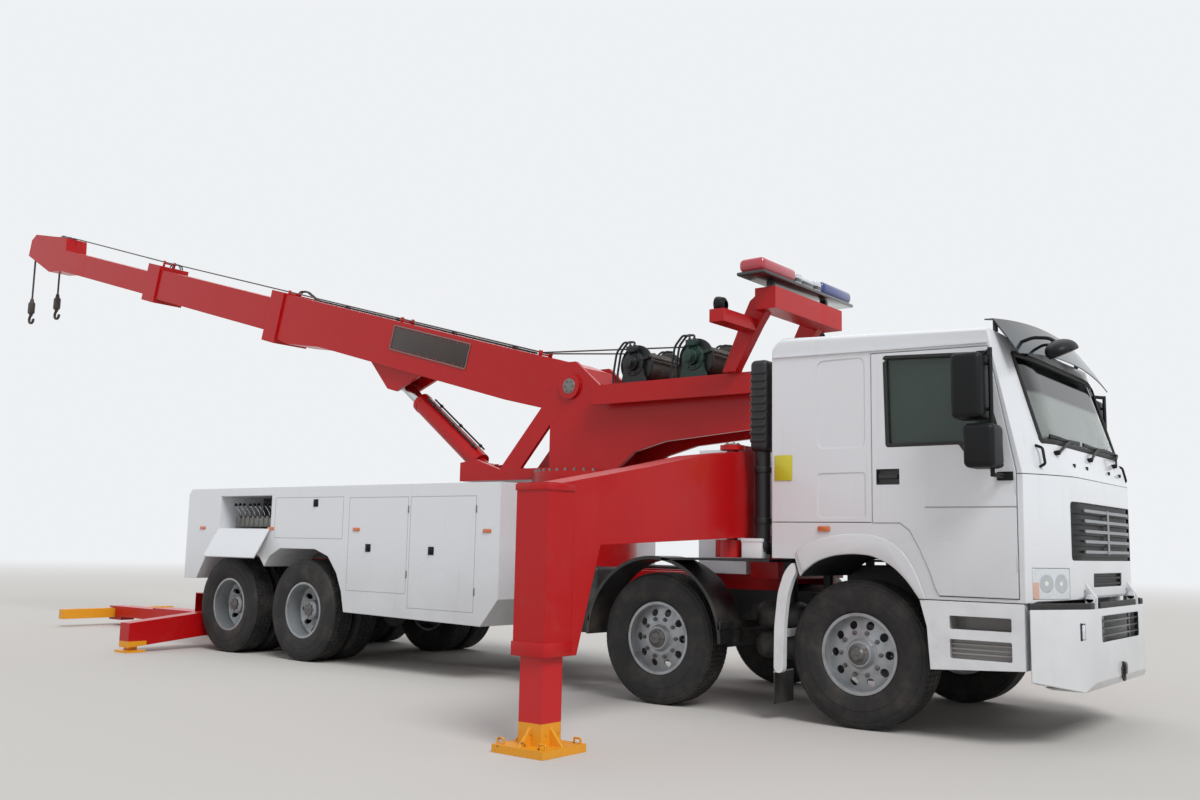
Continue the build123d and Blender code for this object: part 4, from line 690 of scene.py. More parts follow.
for out in (-1, 1):
    flare = softened(ARCH, 60, closed=False) + softened(FLARE, 60, closed=False)
    ridge = prism(shell, flare, "Y", out * (HALF_W - 2), out * (HALF_W + 12))
    rim = {edge for vert in ridge for edge in vert.link_edges}
    rim = [edge for edge in rim if all(abs(vert.co.y) > HALF_W + 11 for vert in edge.verts)]
    bmesh.ops.bevel(shell, geom=rim, offset=9, affect="EDGES", segments=3, profile=0.5, material=-1)
    drip = [(-657, 2785), (1030, 2751), (1030, 2737), (-657, 2771)]
    prism(shell, drip, "Y", out * (HALF_W - 2), out * (HALF_W + 8))
    lug = [(1450, 990), (1510, 990), (1510, 1002), (1440, 1110), (1385, 1110), (1385, 1060)]
    prism(shell, lug, "Y", out * 545, out * 595)
    rod(shell, (1480, out * 545, 990), (1480, out * 595, 990), 30, sides=28)
    for z in (1180, 1700):
        rod(shell, (HINGE_X, out * HALF_W, z), (HINGE_X, out * HALF_W, z + 90), 4, sides=12)
bmesh.ops.recalc_face_normals(shell, faces=shell.faces)
piece = placed(shell, "cab_panels", "cab", cab_enamel)
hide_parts("cab_shell")

# Rear body lockers, bumper and the flaps share the white enamel, without the cab's seams. The
# bumper's air slots are black behind, and the inside of the open locker is painted dark as shade.
LOCKER_DOORS = [(-4.735, -3.83, 0.64, 1.735), (-5.665, -4.765, 0.775, 1.735), (-6.925, -5.76, 1.3, 1.745)]
paint = Finish("white_enamel")
slots = paint.forward.within(1.49, 1.5275) * paint.aside.within(0.0, 0.522) * paint.up.within(0.689, 0.871)
eye = paint.forward.above(1.5305, 1.531) * paint.up.within(0.42, 0.54) * paint.aside.within(0.0, 0.03)
lamp_slot = paint.aside.within(0.795, 0.842) * paint.up.within(0.712, 0.83) * paint.forward.within(1.4, 1.481)
# Painted shade: the inside of the open locker is darkened to a dark grey.
inside = paint.forward.within(-7.964, -6.996) * paint.up.within(1.401, 1.769)
inside = inside * (1 - paint.aside.above(1.2465, 1.247))
deck = paint.aside.within(0.0, 0.655) * paint.forward.within(-8.6, -4.1) * paint.up.within(1.83, 1.853)
soil = road_film(0.35, 1.5, 0.55, 0.14) + deck * 0.6
gaps = 0.0
for rear, fore, low, high in LOCKER_DOORS:
    outer = paint.forward.within(rear, fore) * paint.up.within(low, high)
    leaf = paint.forward.within(rear + 0.007, fore - 0.007) * paint.up.within(low + 0.007, high - 0.007)
    gaps = gaps + (outer - leaf)
gaps = gaps * paint.aside.above(1.24, 1.241)
base = paint.mix(soil, rgb("E0E2E5"), rgb("8E8A82"))
base = paint.mix((slots + eye + lamp_slot).above(0.1, 0.9), base, rgb("17181A"))
base = paint.mix(gaps * 0.55, base, rgb("4A4B4C"))
base = paint.mix(inside, base, rgb("3C3B3A"))
checks = paint.node("ShaderNodeTexChecker", {}, Vector=paint.place, Scale=26.0, output=1)
white_enamel = paint.skin(
    Base_Color=base,
    Roughness=0.24 + soil * 0.4,
    Coat_Weight=0.35,
    height=paint.noise(1.3, 2.0) + checks * deck * 0.4 - gaps,
    strength=0.12,
    distance=0.004,
    round_edge=0.012,
)
dress(white_enamel, "body_lockers", *both("locker_flap"))

# Bumper: folded 6 mm plate on two brackets, its ends bent back and cut up underneath, with an air
# opening over three bars, lamp slots in the bends, a tow eye and the lugs of the tilt pins.
BUMPER_REAR, BUMPER_FRONT, BUMPER_LOW, BUMPER_TOP, BEND_Y = 1268, 1530, 370, 922, 730


def bumper_plan(inset):
    """Plan of the bumper, drawn in by inset."""
    rear = BUMPER_REAR - (40 if inset else 0)
    half = HALF_W - inset * 0.7
    tip = (BUMPER_FRONT - inset, BEND_Y - inset * 0.4)
    bent = softened([(rear, half), tip, (tip[0], 0), (rear, 0)], 70)[5:10]
    return [(rear, -half), *[(x, -y) for x, y in bent], *reversed(bent), (rear, half)]


form = bmesh.new()
outline = [
    (BUMPER_REAR - 10, BUMPER_LOW), (BUMPER_FRONT - 40, BUMPER_LOW), (BUMPER_FRONT + 1, BUMPER_LOW + 60),
    (BUMPER_FRONT + 1, BUMPER_TOP), (BUMPER_REAR - 10, BUMPER_TOP),
]
prism(form, outline, "Y", -HALF_W, HALF_W)
plan = bmesh.new()
prism(plan, bumper_plan(0), "Z", 300, 1000)
carve(form, plan, "INTERSECT")
hollow = bmesh.new()
prism(hollow, bumper_plan(30), "Z", BUMPER_LOW + 30, BUMPER_TOP - 30)
for out in (-1, 1):
    lift = [
        (out * (BEND_Y + 60), BUMPER_LOW - 5), (out * 1260, BUMPER_LOW - 5), (out * 1260, BUMPER_LOW + 85)
    ]
    prism(hollow, lift, "X", BUMPER_REAR - 60, BUMPER_FRONT + 20)
    slant = Matrix.Rotation(math.radians(out * 26.8), 3, "Z")
    slab(hollow, (1476, out * 819 - 18, 715), (1520, out * 819 + 18, 828), edge=2, turn=slant)
prism(hollow, panel((-520, 520), (690, 870), 25), "X", BUMPER_FRONT - 45, BUMPER_FRONT + 20)
carve(form, hollow)
for z in (722, 772, 822):
    slab(form, (BUMPER_FRONT - 26, -521, z), (BUMPER_FRONT - 8, 521, z + 14), edge=3)
for out in (-1, 1):
    slab(form, (1250, out * 340, 660), (BUMPER_FRONT - 29, out * 420, 920), edge=4)
    for y in (520, 600):
        slab(form, (1450, out * y, BUMPER_TOP - 1), (1510, out * (y + 20), 990), edge=3)
        rod(form, (1480, out * y, 990), (1480, out * (y + 20), 990), 30, sides=28, edge=2)
    rod(form, (1480, out * 539, 990), (1480, out * 601, 990), 18)
eye = bmesh.new()
prism(eye, panel((1500, 1560), (430, 530), 28), "Y", -22, 22)
hole = bmesh.new()
rod(hole, (1532, -40, 480), (1532, 40, 480), 14)
carve(eye, hole)
tow_eye = bpy.data.meshes.new("tow_eye")
eye.to_mesh(tow_eye)
form.from_mesh(tow_eye)
bmesh.ops.recalc_face_normals(form, faces=form.faces)
piece = placed(form, "bumper_plate", "truck", white_enamel)
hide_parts("bumper")

# Doors: white steel panels with a swage line, its groove painted grey as shade, a black pull handle
# in its recess and a black lining inside. Each is a little smaller all round than its opening in the cab.
paint = Finish("door_enamel")
handle = paint.forward.within(0.198, 0.375) * paint.up.within(1.767, 1.88) * paint.aside.above(1.2, 1.201)
# Painted shade: the swage line's groove is darkened grey.
swage = paint.up.within(1.5975, 1.6065) * paint.forward.above(0.56, 0.561)
lining = 1 - paint.aside.above(1.2, 1.204)
soil = road_film(0.8, 1.7, 0.5, 0.12)
base = paint.mix(soil, rgb("E0E2E5"), rgb("8E8A82"))
base = paint.mix(swage * 0.35, base, rgb("5F6062"))
base = paint.mix((handle + lining).above(0.1, 0.9), base, rgb("1B1C1E"))
door_enamel = paint.skin(
    Base_Color=base,
    Roughness=0.24 + soil * 0.4 + handle * 0.25,
    Coat_Weight=0.35,
    height=paint.noise(1.3, 2.0),
    strength=0.12,
    distance=0.004,
    round_edge=0.01,
)
DOOR_MIDDLE, DOOR_GAP = Vector((682, 1862)), 6
for side, out in SIDES.items():
    form = bmesh.new()
    half = Vector((523, 878))
    leaf = [
        tuple(DOOR_MIDDLE[i] + (point[i] - DOOR_MIDDLE[i]) * (1 - DOOR_GAP / half[i]) for i in (0, 1))
        for point in DOOR
    ]
    prism(form, leaf, "Y", out * (HALF_W - WALL), out * HALF_W)
    recesses = bmesh.new()
    prism(recesses, softened(DOOR_WINDOW, 28), "Y", out * (HALF_W - WALL - 20), out * (HALF_W + 20))
    prism(recesses, panel((202, 371), (1771, 1876), 22), "Y", out * (HALF_W - 26), out * (HALF_W + 20))
    prism(recesses, oblong((560, 1210), (1598, 1606)), "Y", out * (HALF_W - 5), out * (HALF_W + 20))
    for z in (1178, 1698):
        rod(recesses, (HINGE_X, out * HALF_W, z), (HINGE_X, out * HALF_W, z + 94), 4.5, sides=12)
    carve(form, recesses)
    prism(form, panel((214, 359), (1812, 1838), 10), "Y", out * (HALF_W - 27), out * (HALF_W - 2))
    bmesh.ops.recalc_face_normals(form, faces=form.faces)
    piece = placed(form, f"door_panel_{side}", f"door_{side}", door_enamel)
    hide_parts(f"door_{side}")

# Window seals: extruded black rubber pressed over the edge of the opening, one round each door
# window and one round the windscreen.
SEAL_Y = 1243


def mottled(name, scale, first, second, detail=3.0, grain=None, **settings):
    """A finish that wanders between two colours, with a bump from a fine grain where there is one."""
    paint = Finish(name)
    if grain:
        settings["height"] = paint.noise(grain)
    return paint.skin(Base_Color=paint.mix(paint.noise(scale, detail), rgb(first), rgb(second)), **settings)


seal_rubber = mottled("seal_rubber", 20.0, "141415", "2B2A29", grain=80.0, Roughness=0.6)
for side, out in SIDES.items():
    form = bmesh.new()
    pipe(form, [(x, out * SEAL_Y, z) for x, z in DOOR_WINDOW], 8, 26, closed=True, tall=7)
    placed(form, f"door_seal_{side}", f"door_{side}", seal_rubber)
form = bmesh.new()
low, high = SCREEN_LOW - 9, SCREEN_TOP + 9
ys = (-994, -820, -640, -400, 0, 400, 640, 820, 994)
rim = [front(y, low, 1) for y in ys]
rim += [front(y, high, 1) for y in reversed(ys)]
pipe(form, rim, 9, 60, closed=True, tall=10)
placed(form, "screen_seal", "cab", seal_rubber)

# Glass: curved laminated windscreen and toughened door panes, all faintly green and glossy. The
# windscreen is painted pale as a sky reflection and the door panes darker as shade. Its top bears a
# dark band, partly a tinted shade band and partly the visor's shadow painted on.
paint = Finish("cab_glass")
# Painted reflection and shade: the windscreen is coloured pale as the sky's reflection, the door panes
# darker.
pane = paint.aside.above(1.19, 1.2)
# Painted shadow: the band along the windscreen's top is darkened as the visor's shadow over a tinted band.
shade = paint.up.above(2.41, 2.45) * (1 - pane)
clear = paint.mix(pane, rgb("DCE8E1"), rgb("6A7B74"))
glass_tint_and_painted_light = paint.skin(
    Base_Color=paint.mix(shade, clear, rgb("0A0B0B")),
    Roughness=0.02 + paint.noise(2.0) * 0.02,
    Specular_IOR_Level=0.3,
    Transmission_Weight=0.85,
    IOR=1.45,
    Alpha=0.88 + shade * 0.12,
    round_edge=0.001,
)
dress(glass_tint_and_painted_light, *both("door_glass"))
form = bmesh.new()
front_block(form, (-SCREEN_HALF_W, SCREEN_HALF_W), (SCREEN_LOW, SCREEN_TOP), (8, 14), 70)
bmesh.ops.recalc_face_normals(form, faces=form.faces)
piece = placed(form, "windscreen", "cab", glass_tint_and_painted_light)
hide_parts("cab_glass")

# Cab trim: grey moulded dash and wheel, woven grey cloth on the seats.
paint = Finish("cab_trim")
weave = paint.node("ShaderNodeTexChecker", {}, Vector=paint.place, Scale=420.0, output=1)
trim = paint.skin(
    Base_Color=paint.mix(paint.noise(60.0), rgb("6B6C6E"), rgb("4A4B4E")),
    Roughness=0.8,
    height=weave,
    strength=0.1,
    distance=0.001,
    round_edge=0.02,
)
shape = bmesh.new()
dash = [(1000, 1500), (1000, 1900), (1120, 1950), (1250, 1930), (1320, 1800), (1320, 1400)]
prism(shape, softened(dash, 45, 3), "Y", -1187, 1187)
slab(shape, (-200, -330, 1390), (900, 330, 1520), edge=50, segments=3)
carve(shape, cab_plan(WALL + 1), "INTERSECT")
for out in (-1, 1):
    y = out * 660
    slab(shape, (60, y - 250, 1390), (560, y + 250, 1700), edge=60, segments=4)
    back = [(60, 1690), (-40, 2240), (60, 2260), (190, 1690)]
    prism(shape, softened(back, 40, 3), "Y", y - 230, y + 230)
    slab(shape, (-56, y - 140, 2220), (44, y + 140, 2440), edge=40, segments=3)
rod(shape, (1000, 660, 1850), (860, 660, 1930), 30)
grip = [(16 * math.cos(a), 215 + 16 * math.sin(a)) for a in (math.radians(d) for d in range(0, 360, 36))]
wheel = list(turned(shape, grip, (0, 0, 0), 40, closed=True))
wheel += slab(shape, (-210, -7, -20), (210, 7, 20), edge=4)
tilt = Matrix.Rotation(math.radians(30), 4, "Y") @ Matrix.Rotation(math.radians(90), 4, "Z")
bmesh.ops.transform(shape, matrix=Matrix.Translation((860, 660, 1930)) @ tilt, verts=wheel)
bmesh.ops.recalc_face_normals(shape, faces=shape.faces)
piece = placed(shape, "cab_seats_and_dash", "cab", trim)
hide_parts("cab_interior")

# Radiator grille: black moulded lattice bent to the front's curve, over a dark backing, with five
# bright bars and an upright fixed across it. The lower intake is made the same way.
paint = Finish("black_plastic")
dust = paint.noise(4.0, 5.0).above(0.45, 0.8) * (1 - paint.up.above(0.4, 1.4))
black_plastic = paint.skin(
    Base_Color=paint.mix(dust * 0.5, rgb("0F1012"), rgb("6E675D")),
    Roughness=0.45 + dust * 0.3,
    Specular_IOR_Level=0.25,
    height=paint.noise(220.0, 2.0),
    strength=0.12,
    distance=0.001,
)
form = bmesh.new()
for half, low, high, slats in (
    (GRILLE_HALF_W, GRILLE_LOW, GRILLE_TOP, 5), (INTAKE_HALF_W, INTAKE_LOW, INTAKE_TOP, 2),
):
    front_block(form, (1 - half, half - 1), (low + 1, high - 1), (20, 39), 15)
    for y in (-half + 12, half - 12):
        front_block(form, (y - 12, y + 12), (low + 1, high - 1), (3, 24), 4)
    pitch = (high - low) / (slats + 0.4)
    for i in range(slats + 2):
        z = low + (i - 0.5) * pitch
        span = (max(z - 0.14 * pitch, low + 1), min(z + 0.22 * pitch, high - 1))
        if span[1] - span[0] > 8:
            front_block(form, (1 - half, half - 1), span, (3, 24), 4)
bmesh.ops.recalc_face_normals(form, faces=form.faces)
piece = placed(form, "grille_lattice", "cab", black_plastic)
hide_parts("grille")

bright_trim = mottled(
    "bright_trim", 30.0, "A3A6A8", "84888B", Roughness=0.34, Metallic=0.85, round_edge=0.004
)
form = bmesh.new()
for i in range(5):
    z = 1312 + 72 * i
    front_block(form, (-600, 600), (z - 11, z + 11), (-8, 4), 5)
front_block(form, (-22, 22), (1296, 1616), (-12, 2), 5)
bmesh.ops.recalc_face_normals(form, faces=form.faces)
placed(form, "grille_bars", "cab", bright_trim)

# Wipers: black pressed-steel arms on three spindles below the windscreen, with rubber blades lying
# along the foot of the glass.
form = bmesh.new()
for pivot, mid, reach in ((-870, -560, -330), (-130, 200, 420), (560, 760, 900)):
    base = front(pivot, 1985, 6)
    rod(form, (base[0] - 20, pivot, 1985), (base[0] + 26, pivot, 1992), 17, sides=16, edge=3)
    joint = front(mid, 2088, 30)
    pipe(form, [(base[0] + 22, pivot, 1992), front((pivot + mid) / 2, 2050, 34), joint], 8, 60, tall=4)
    ys = [mid + along for along in (-330, -150, 0, 150, 330)]
    blade = [front(y, 2096 + abs(y - mid) * 0.03, 14) for y in ys if abs(y) < 960]
    pipe(form, blade, 6, 60, tall=9)
    rod(form, joint, (joint[0] - 22, joint[1], joint[2] + 6), 11, sides=10)
placed(form, "wipers", "cab", black_plastic)

# Washer nozzles and the two grab rails beside the windscreen: small black fittings screwed to the
# front.
form = bmesh.new()
for out in (-1, 1):
    grab = [front(out * 1080, 1880, 0), front(out * 1085, 1900, 45), front(out * 1065, 2010, 45)]
    pipe(form, grab + [front(out * 1060, 2030, 0)], 10, 30)
    for y in (300, 620):
        rod(form, front(out * y, 1915, -8), front(out * y, 1915, 12), 14, sides=14, edge=3)
placed(form, "front_fittings", "cab", black_plastic)

# Mirrors: rounded black housings on a tube carried by two arms, silvered glass in their rear faces,
# and the kerb mirror on its arm over the near corner of the windscreen.
mirror_glass = mottled(
    "mirror_glass", 3.0, "C9D0D4", "B9C1C6", Roughness=0.03, Metallic=1.0, round_edge=0.003
)
MIRROR_X = 1112
for side, out in SIDES.items():
    near, far = out * (HALF_W + 90), out * (HALF_W + 312)
    arm_y = out * (HALF_W + 190)
    form = bmesh.new()
    for low, high, x0, x1 in ((2183, 2635, 872, 1084), (1851, 2150, 950, 1162)):
        slab(form, (x0, near, low), (x1, far, high), edge=42, segments=5)
    rod(form, (MIRROR_X, arm_y, 1795), (MIRROR_X, arm_y, 2670), 15, edge=4)
    for z, run in ((2655, -105), (1810, 20)):
        rod(form, (MIRROR_X, arm_y, z), (MIRROR_X + run, out * (HALF_W + 12), z), 15)
        foot = MIRROR_X + run
        slab(form, (foot - 55, out * HALF_W, z - 30), (foot + 55, out * (HALF_W + 16), z + 30), edge=6)
    for z, x in ((2560, 1060), (2250, 1060), (1950, 1130)):
        rod(form, (x, arm_y, z), (MIRROR_X, arm_y, z), 12)
    bmesh.ops.recalc_face_normals(form, faces=form.faces)
    piece = placed(form, f"mirror_housings_{side}", f"door_{side}", black_plastic)
    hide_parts(f"mirror_{side}")
    form = bmesh.new()
    for x, low, high in ((868, 2225, 2593), (946, 1893, 2108)):
        slab(form, (x, out * 1382, low), (x + 7, out * 1516, high), edge=3)
    placed(form, f"mirror_glass_{side}", f"door_{side}", mirror_glass)

form = bmesh.new()
pod = bmesh.ops.create_uvsphere(form, u_segments=36, v_segments=20, radius=1.0)["verts"]
bmesh.ops.transform(form, matrix=Matrix.Diagonal((105, 175, 78, 1)), verts=pod)
cut = bmesh.ops.bisect_plane(
    form, geom=form.verts[:] + form.edges[:] + form.faces[:], plane_co=(0, 0, -34), plane_no=(0.35, 0, -1),
    clear_outer=True,
)
brink = [item for item in cut["geom_cut"] if isinstance(item, bmesh.types.BMEdge)]
bmesh.ops.contextual_create(form, geom=brink)
lip = [edge for edge in brink if edge.is_valid]
bmesh.ops.bevel(form, geom=lip, offset=8, affect="EDGES", segments=2, profile=0.5, material=-1)
lean = Matrix.Translation((1432, -915, 2698)) @ Matrix.Rotation(math.radians(14), 4, "X")
bmesh.ops.transform(form, matrix=lean, verts=form.verts)
pipe(form, [(1125, -960, 2760), (1250, -950, 2800), (1350, -930, 2790), (1410, -915, 2750)], 13, 60)
pipe(form, [(1150, -820, 2700), (1290, -850, 2760), (1400, -900, 2740)], 11, 60)
placed(form, "kerb_mirror", "cab", black_plastic)

# Sun visor: a blade of smoked acrylic, hot-bent with a crown and bolted to its brackets. Its colour
# is painted darker towards its root at the roof, as shade.
paint = Finish("smoked_acrylic")
# Painted shade: darker towards the root at the roof.
visor_root_shade = paint.up.above(2.78, 2.96)
smoked = paint.skin(
    Base_Color=paint.mix(visor_root_shade, rgb("2C363D"), rgb("0D1013")),
    Roughness=0.12 + paint.noise(3.0) * 0.1,
    Specular_IOR_Level=0.35,
    Coat_Weight=0.15,
    Transmission_Weight=0.25,
    round_edge=0.004,
)
VISOR_HALF_W = 1150
form = bmesh.new()
blade = [
    (1025, 3004), (1085, 3002), (1187, 2856), (1261, 2738),
    (1252, 2736), (1178, 2852), (1081, 2991), (1025, 2995),
]
prism(form, blade, "Y", -VISOR_HALF_W, VISOR_HALF_W)
for i in range(1, 38):
    y = -VISOR_HALF_W + i * 2 * VISOR_HALF_W / 38
    parts = form.verts[:] + form.edges[:] + form.faces[:]
    bmesh.ops.bisect_plane(form, geom=parts, plane_co=(0, y, 0), plane_no=(0, 1, 0))
for vert in form.verts:
    bow = (vert.co.y / VISOR_HALF_W) ** 2
    vert.co.x -= 45 * bow
    vert.co.z -= 75 * bow
for y in (-1000, -350, 350, 1000):
    bow = (y / VISOR_HALF_W) ** 2
    x, top = 1040 - 45 * bow, 2996 - 75 * bow
    roof = 2854 + (1052 - x) * 0.0485
    slab(form, (x - 14, y - 18, roof), (x + 14, y + 18, top), edge=4)
bmesh.ops.recalc_face_normals(form, faces=form.faces)
piece = placed(form, "visor_blade", "cab", smoked)
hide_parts("sun_visor")

# Head lamps: a clear polycarbonate lens bent round the corner over two fluted reflector bowls, with
# an amber indicator at its outer end.
paint = Finish("lamp_lens")


def bands(direction, scale):
    """Ribs, flutes or strands across a direction of the drawing."""
    settings = {"wave_type": "BANDS", "bands_direction": direction}
    return paint.node("ShaderNodeTexWave", settings, Vector=paint.place, Scale=scale)


def bowl(middle):
    """Distance in metres from a bowl's middle, seen from the front."""
    spot = paint.node("ShaderNodeCombineXYZ", {}, paint.aside - middle, paint.up - 1.095, 0.0)
    return paint.node("ShaderNodeVectorMath", {"operation": "LENGTH"}, spot, output="Value")


main, dip = bowl(0.925), bowl(1.065)
bulb = (1 - main.above(0.012, 0.02)) + (1 - dip.above(0.012, 0.02))
bowls = (1 - main.above(0.06, 0.068)) + (1 - dip.above(0.056, 0.064))
flutes = bands("Y", 26.0)
cells = paint.node("ShaderNodeTexVoronoi", {}, Vector=paint.place, Scale=42.0)
amber = paint.aside.above(1.128, 1.13) * (1 - paint.up.above(1.1, 1.102))
base = paint.mix(cells * 0.4, rgb("CDD2D5"), rgb("F2F4F4"))
base = paint.mix(bowls * 0.4, base, rgb("8A9197"))
base = paint.mix(bulb, base, rgb("F0EDE2"))
lamp_lens = paint.skin(
    Base_Color=paint.mix(amber * 0.6, base, rgb("D98850")),
    Roughness=0.1 + bowls * 0.1,
    Metallic=0.55 + bowls * 0.25,
    Coat_Weight=1.0,
    height=flutes * 0.6 + main * 9.0 * bowls,
    strength=0.5,
    distance=0.004,
)
form = bmesh.new()
for out in (-1, 1):
    span = sorted((out * (LAMP_INNER + 2), out * (LAMP_OUTER - 2)))
    front_block(form, span, (LAMP_LOW + 2, LAMP_TOP - 2), (2, 90), 22)
bmesh.ops.recalc_face_normals(form, faces=form.faces)
piece = placed(form, "head_lamps", "cab", lamp_lens)
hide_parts("lamps")

# Bumper fittings: a black rubber strip on the top edge, fog-lamp glass in the corner slots and a
# forged shackle on the tow eye.
clear_lens = mottled(
    "clear_lens", 12.0, "E6E9EB", "C7CCD0", Roughness=0.08, Metallic=0.3, Coat_Weight=1.0
)
form = bmesh.new()
for out in (-1, 1):
    strip = [(1262, out * 1238), (1400, out * 960), (1512, out * 735), (1512, out * 645)]
    pipe(form, [(x, y, 941) for x, y in strip], 8, 60, tall=16)
pipe(form, [(1512, -498, 941), (1512, 0, 941), (1512, 498, 941)], 8, 60, tall=16)
placed(form, "bumper_strip", "truck", seal_rubber)
form = bmesh.new()
for out in (-1, 1):
    slant = Matrix.Rotation(math.radians(out * 26.8), 3, "Z")
    slab(form, (1484, out * 819 - 13, 724), (1493, out * 819 + 13, 819), edge=3, turn=slant)
placed(form, "fog_lamps", "truck", clear_lens)

forged = mottled(
    "forged_steel", 14.0, "2C2D30", "5A5048", detail=5.0, grain=120.0, strength=0.15, Roughness=0.5,
    Metallic=0.5,
)
form = bmesh.new()
bow = [
    (1532, -34, 480), (1532, -38, 440), (1540, -20, 398), (1540, 20, 398), (1532, 38, 440), (1532, 34, 480)
]
pipe(form, bow, 9, 24)
rod(form, (1532, -48, 480), (1532, 48, 480), 12, edge=2)
placed(form, "tow_shackle", "truck", forged)

# Side markers and reflectors: amber acrylic in rounded pads and a yellow reflecting tape, glued to
# the panels.
paint = Finish("amber_acrylic")
grid = paint.node("ShaderNodeTexChecker", {}, Vector=paint.place, Scale=260.0, output=1)
amber_acrylic = paint.skin(
    Base_Color=paint.mix(grid * 0.4, rgb("C8622A"), rgb("E58B4A")), Roughness=0.15, Coat_Weight=0.8,
    height=grid, strength=0.2, distance=0.001,
)
paint = Finish("yellow_tape")
grid = paint.node("ShaderNodeTexVoronoi", {}, Vector=paint.place, Scale=120.0)
yellow_tape = paint.skin(
    Base_Color=paint.mix(grid * 0.6, rgb("D5CB3A"), rgb("BDB024")), Roughness=0.3, height=grid, strength=0.1,
    distance=0.001,
)
for side, out in SIDES.items():
    form = bmesh.new()
    slab(form, (-640, out * 1247.6, 1812), (-488, out * 1251, 2008), edge=1.4)
    placed(form, f"cab_reflector_{side}", "cab", yellow_tape)
    form = bmesh.new()
    slab(form, (-272, out * 1247, 1425), (-172, out * 1258, 1465), edge=4)
    placed(form, f"cab_marker_{side}", "cab", amber_acrylic)
    form = bmesh.new()
    for x in (-8300, -6985, -5537, -3680):
        slab(form, (x - 52, out * 1247, 1385), (x + 52, out * 1258, 1421), edge=4)
    placed(form, f"body_markers_{side}", "truck", amber_acrylic)

# Valve boxes on the second axle's mudguards: white folded sheet with a lipped lid, screwed to the
# guard beside each outrigger's hinge.
form = bmesh.new()
for out in (-1, 1):
    slab(form, (-945, out * 1090, 1212), (-768, out * 1236, 1352), edge=8)
    slab(form, (-950, out * 1086, 1340), (-763, out * 1240, 1368), edge=6)
placed(form, "valve_boxes", "truck", white_enamel)

# Red recovery gear: thick gloss paint sprayed over welded plate. It is faded in patches, dusty on
# top and rubbed darker where sections slide.
PIVOT_X, PIVOT_Z = -3500, 2870
paint = Finish("red_enamel")
fade = paint.noise(1.1, 5.0, 0.65).above(0.5, 0.78)
dust = paint.noise(7.0, 5.0).above(0.55, 0.85)
scuff = paint.noise(26.0, 6.0, 0.7).above(0.68, 0.75)
base = paint.mix(fade * 0.3, rgb("B50D11"), rgb("C93432"))
base = paint.mix(dust * 0.12, base, rgb("8C6A60"))
base = paint.mix(scuff * 0.3, base, rgb("7A1012"))
foot = (1 - paint.up.above(0.122, 0.126)) * paint.aside.above(1.86, 1.861)
foot = foot * (1 - paint.aside.above(2.5, 2.51))
base = paint.mix(foot, base, rgb("E39A1C"))
red_enamel = paint.skin(
    Base_Color=base,
    Roughness=0.3 + fade * 0.22 + dust * 0.2,
    Specular_IOR_Level=0.3,
    Coat_Weight=0.08,
    height=paint.noise(3.0, 3.0) - scuff * 0.3,
    strength=0.16,
    distance=0.004,
)
dress(
    red_enamel, "subframe", "turret_frame", "boom_base", "boom_mid", "boom_tip", *both("outrigger_arm"),
    *both("rear_outrigger"), "underlift_arm", "underlift_inner", "lift_barrel",
)

# Slew ring and pin keepers: zinc-plated bolts round the tower's foot, and bolted keeper plates
# over the ends of the boom's pivot pin and the outriggers' hinge pins.
zinc = mottled("zinc_bolts", 50.0, "8C8F8E", "6A6358", detail=4.0, Roughness=0.4, Metallic=0.7)
form = bmesh.new()
for along, y in ringed(36, 530, 5):
    x = PIVOT_X + along
    if abs(y) > 305 or abs(along) > 470 or abs(y) < 240:
        rod(form, (x, y, 2003), (x, y, 2016), 19, sides=14)
        rod(form, (x, y, 2015), (x, y, 2032), 14, sides=6, edge=1.5)
placed(form, "slew_bolts", "turret", zinc)
form = bmesh.new()
for out in (-1, 1):
    rod(form, (PIVOT_X, out * 314, PIVOT_Z), (PIVOT_X, out * 328, PIVOT_Z), 78, sides=40, edge=4)
    for along, up in ringed(6, 56):
        x, z = PIVOT_X + along, PIVOT_Z + up
        rod(form, (x, out * 327, z), (x, out * 338, z), 10, sides=6, edge=1)
placed(form, "pivot_keepers", "boom", zinc)
HINGE_PIN_X, HINGE_PIN_Y = -1080, 1150
form = bmesh.new()
for out in (-1, 1):
    y = out * HINGE_PIN_Y
    rod(form, (HINGE_PIN_X, y, 2109), (HINGE_PIN_X, y, 2122), 66, sides=36, edge=3)
    for along, across in ringed(4, 44, 45):
        x, y = HINGE_PIN_X + along, out * HINGE_PIN_Y + across
        rod(form, (x, y, 2121), (x, y, 2133), 10, sides=6, edge=1)
placed(form, "hinge_keepers", "truck", zinc)

# Winches: drums wound with greased grey rope between black cast flanges, the rear pair of end drives
# black and the front pair dark green, with a roller across each and bolts round the drives.
WINCH_XS = (-2705, -2020)
WINCH_Z, DRUM_HALF_W, ROPE_PITCH, DECK_Z = 3030, 250, 26, 2830
paint = Finish("winch_parts")
rope_on = paint.aside.within(0.0, 0.2495) * paint.up.above(2.886, 2.888)
green = paint.aside.above(0.271, 0.273) * paint.forward.above(-2.3, -2.299)
strands = bands("DIAGONAL", 46.0)
oil = paint.noise(12.0, 5.0).above(0.45, 0.7)
base = paint.mix(rope_on, rgb("191B1C"), paint.mix(strands, rgb("35322F"), rgb("6B665F")))
base = paint.mix(green, base, rgb("17382F"))
winch_parts = paint.skin(
    Base_Color=paint.mix(oil * 0.4, base, rgb("0E0E0E")),
    Roughness=0.42 + rope_on * 0.2 - oil * 0.15,
    Metallic=rope_on * 0.4 + 0.1,
    height=strands * rope_on + paint.noise(60.0) * 0.3,
    strength=0.35,
    distance=0.003,
)
form = bmesh.new()
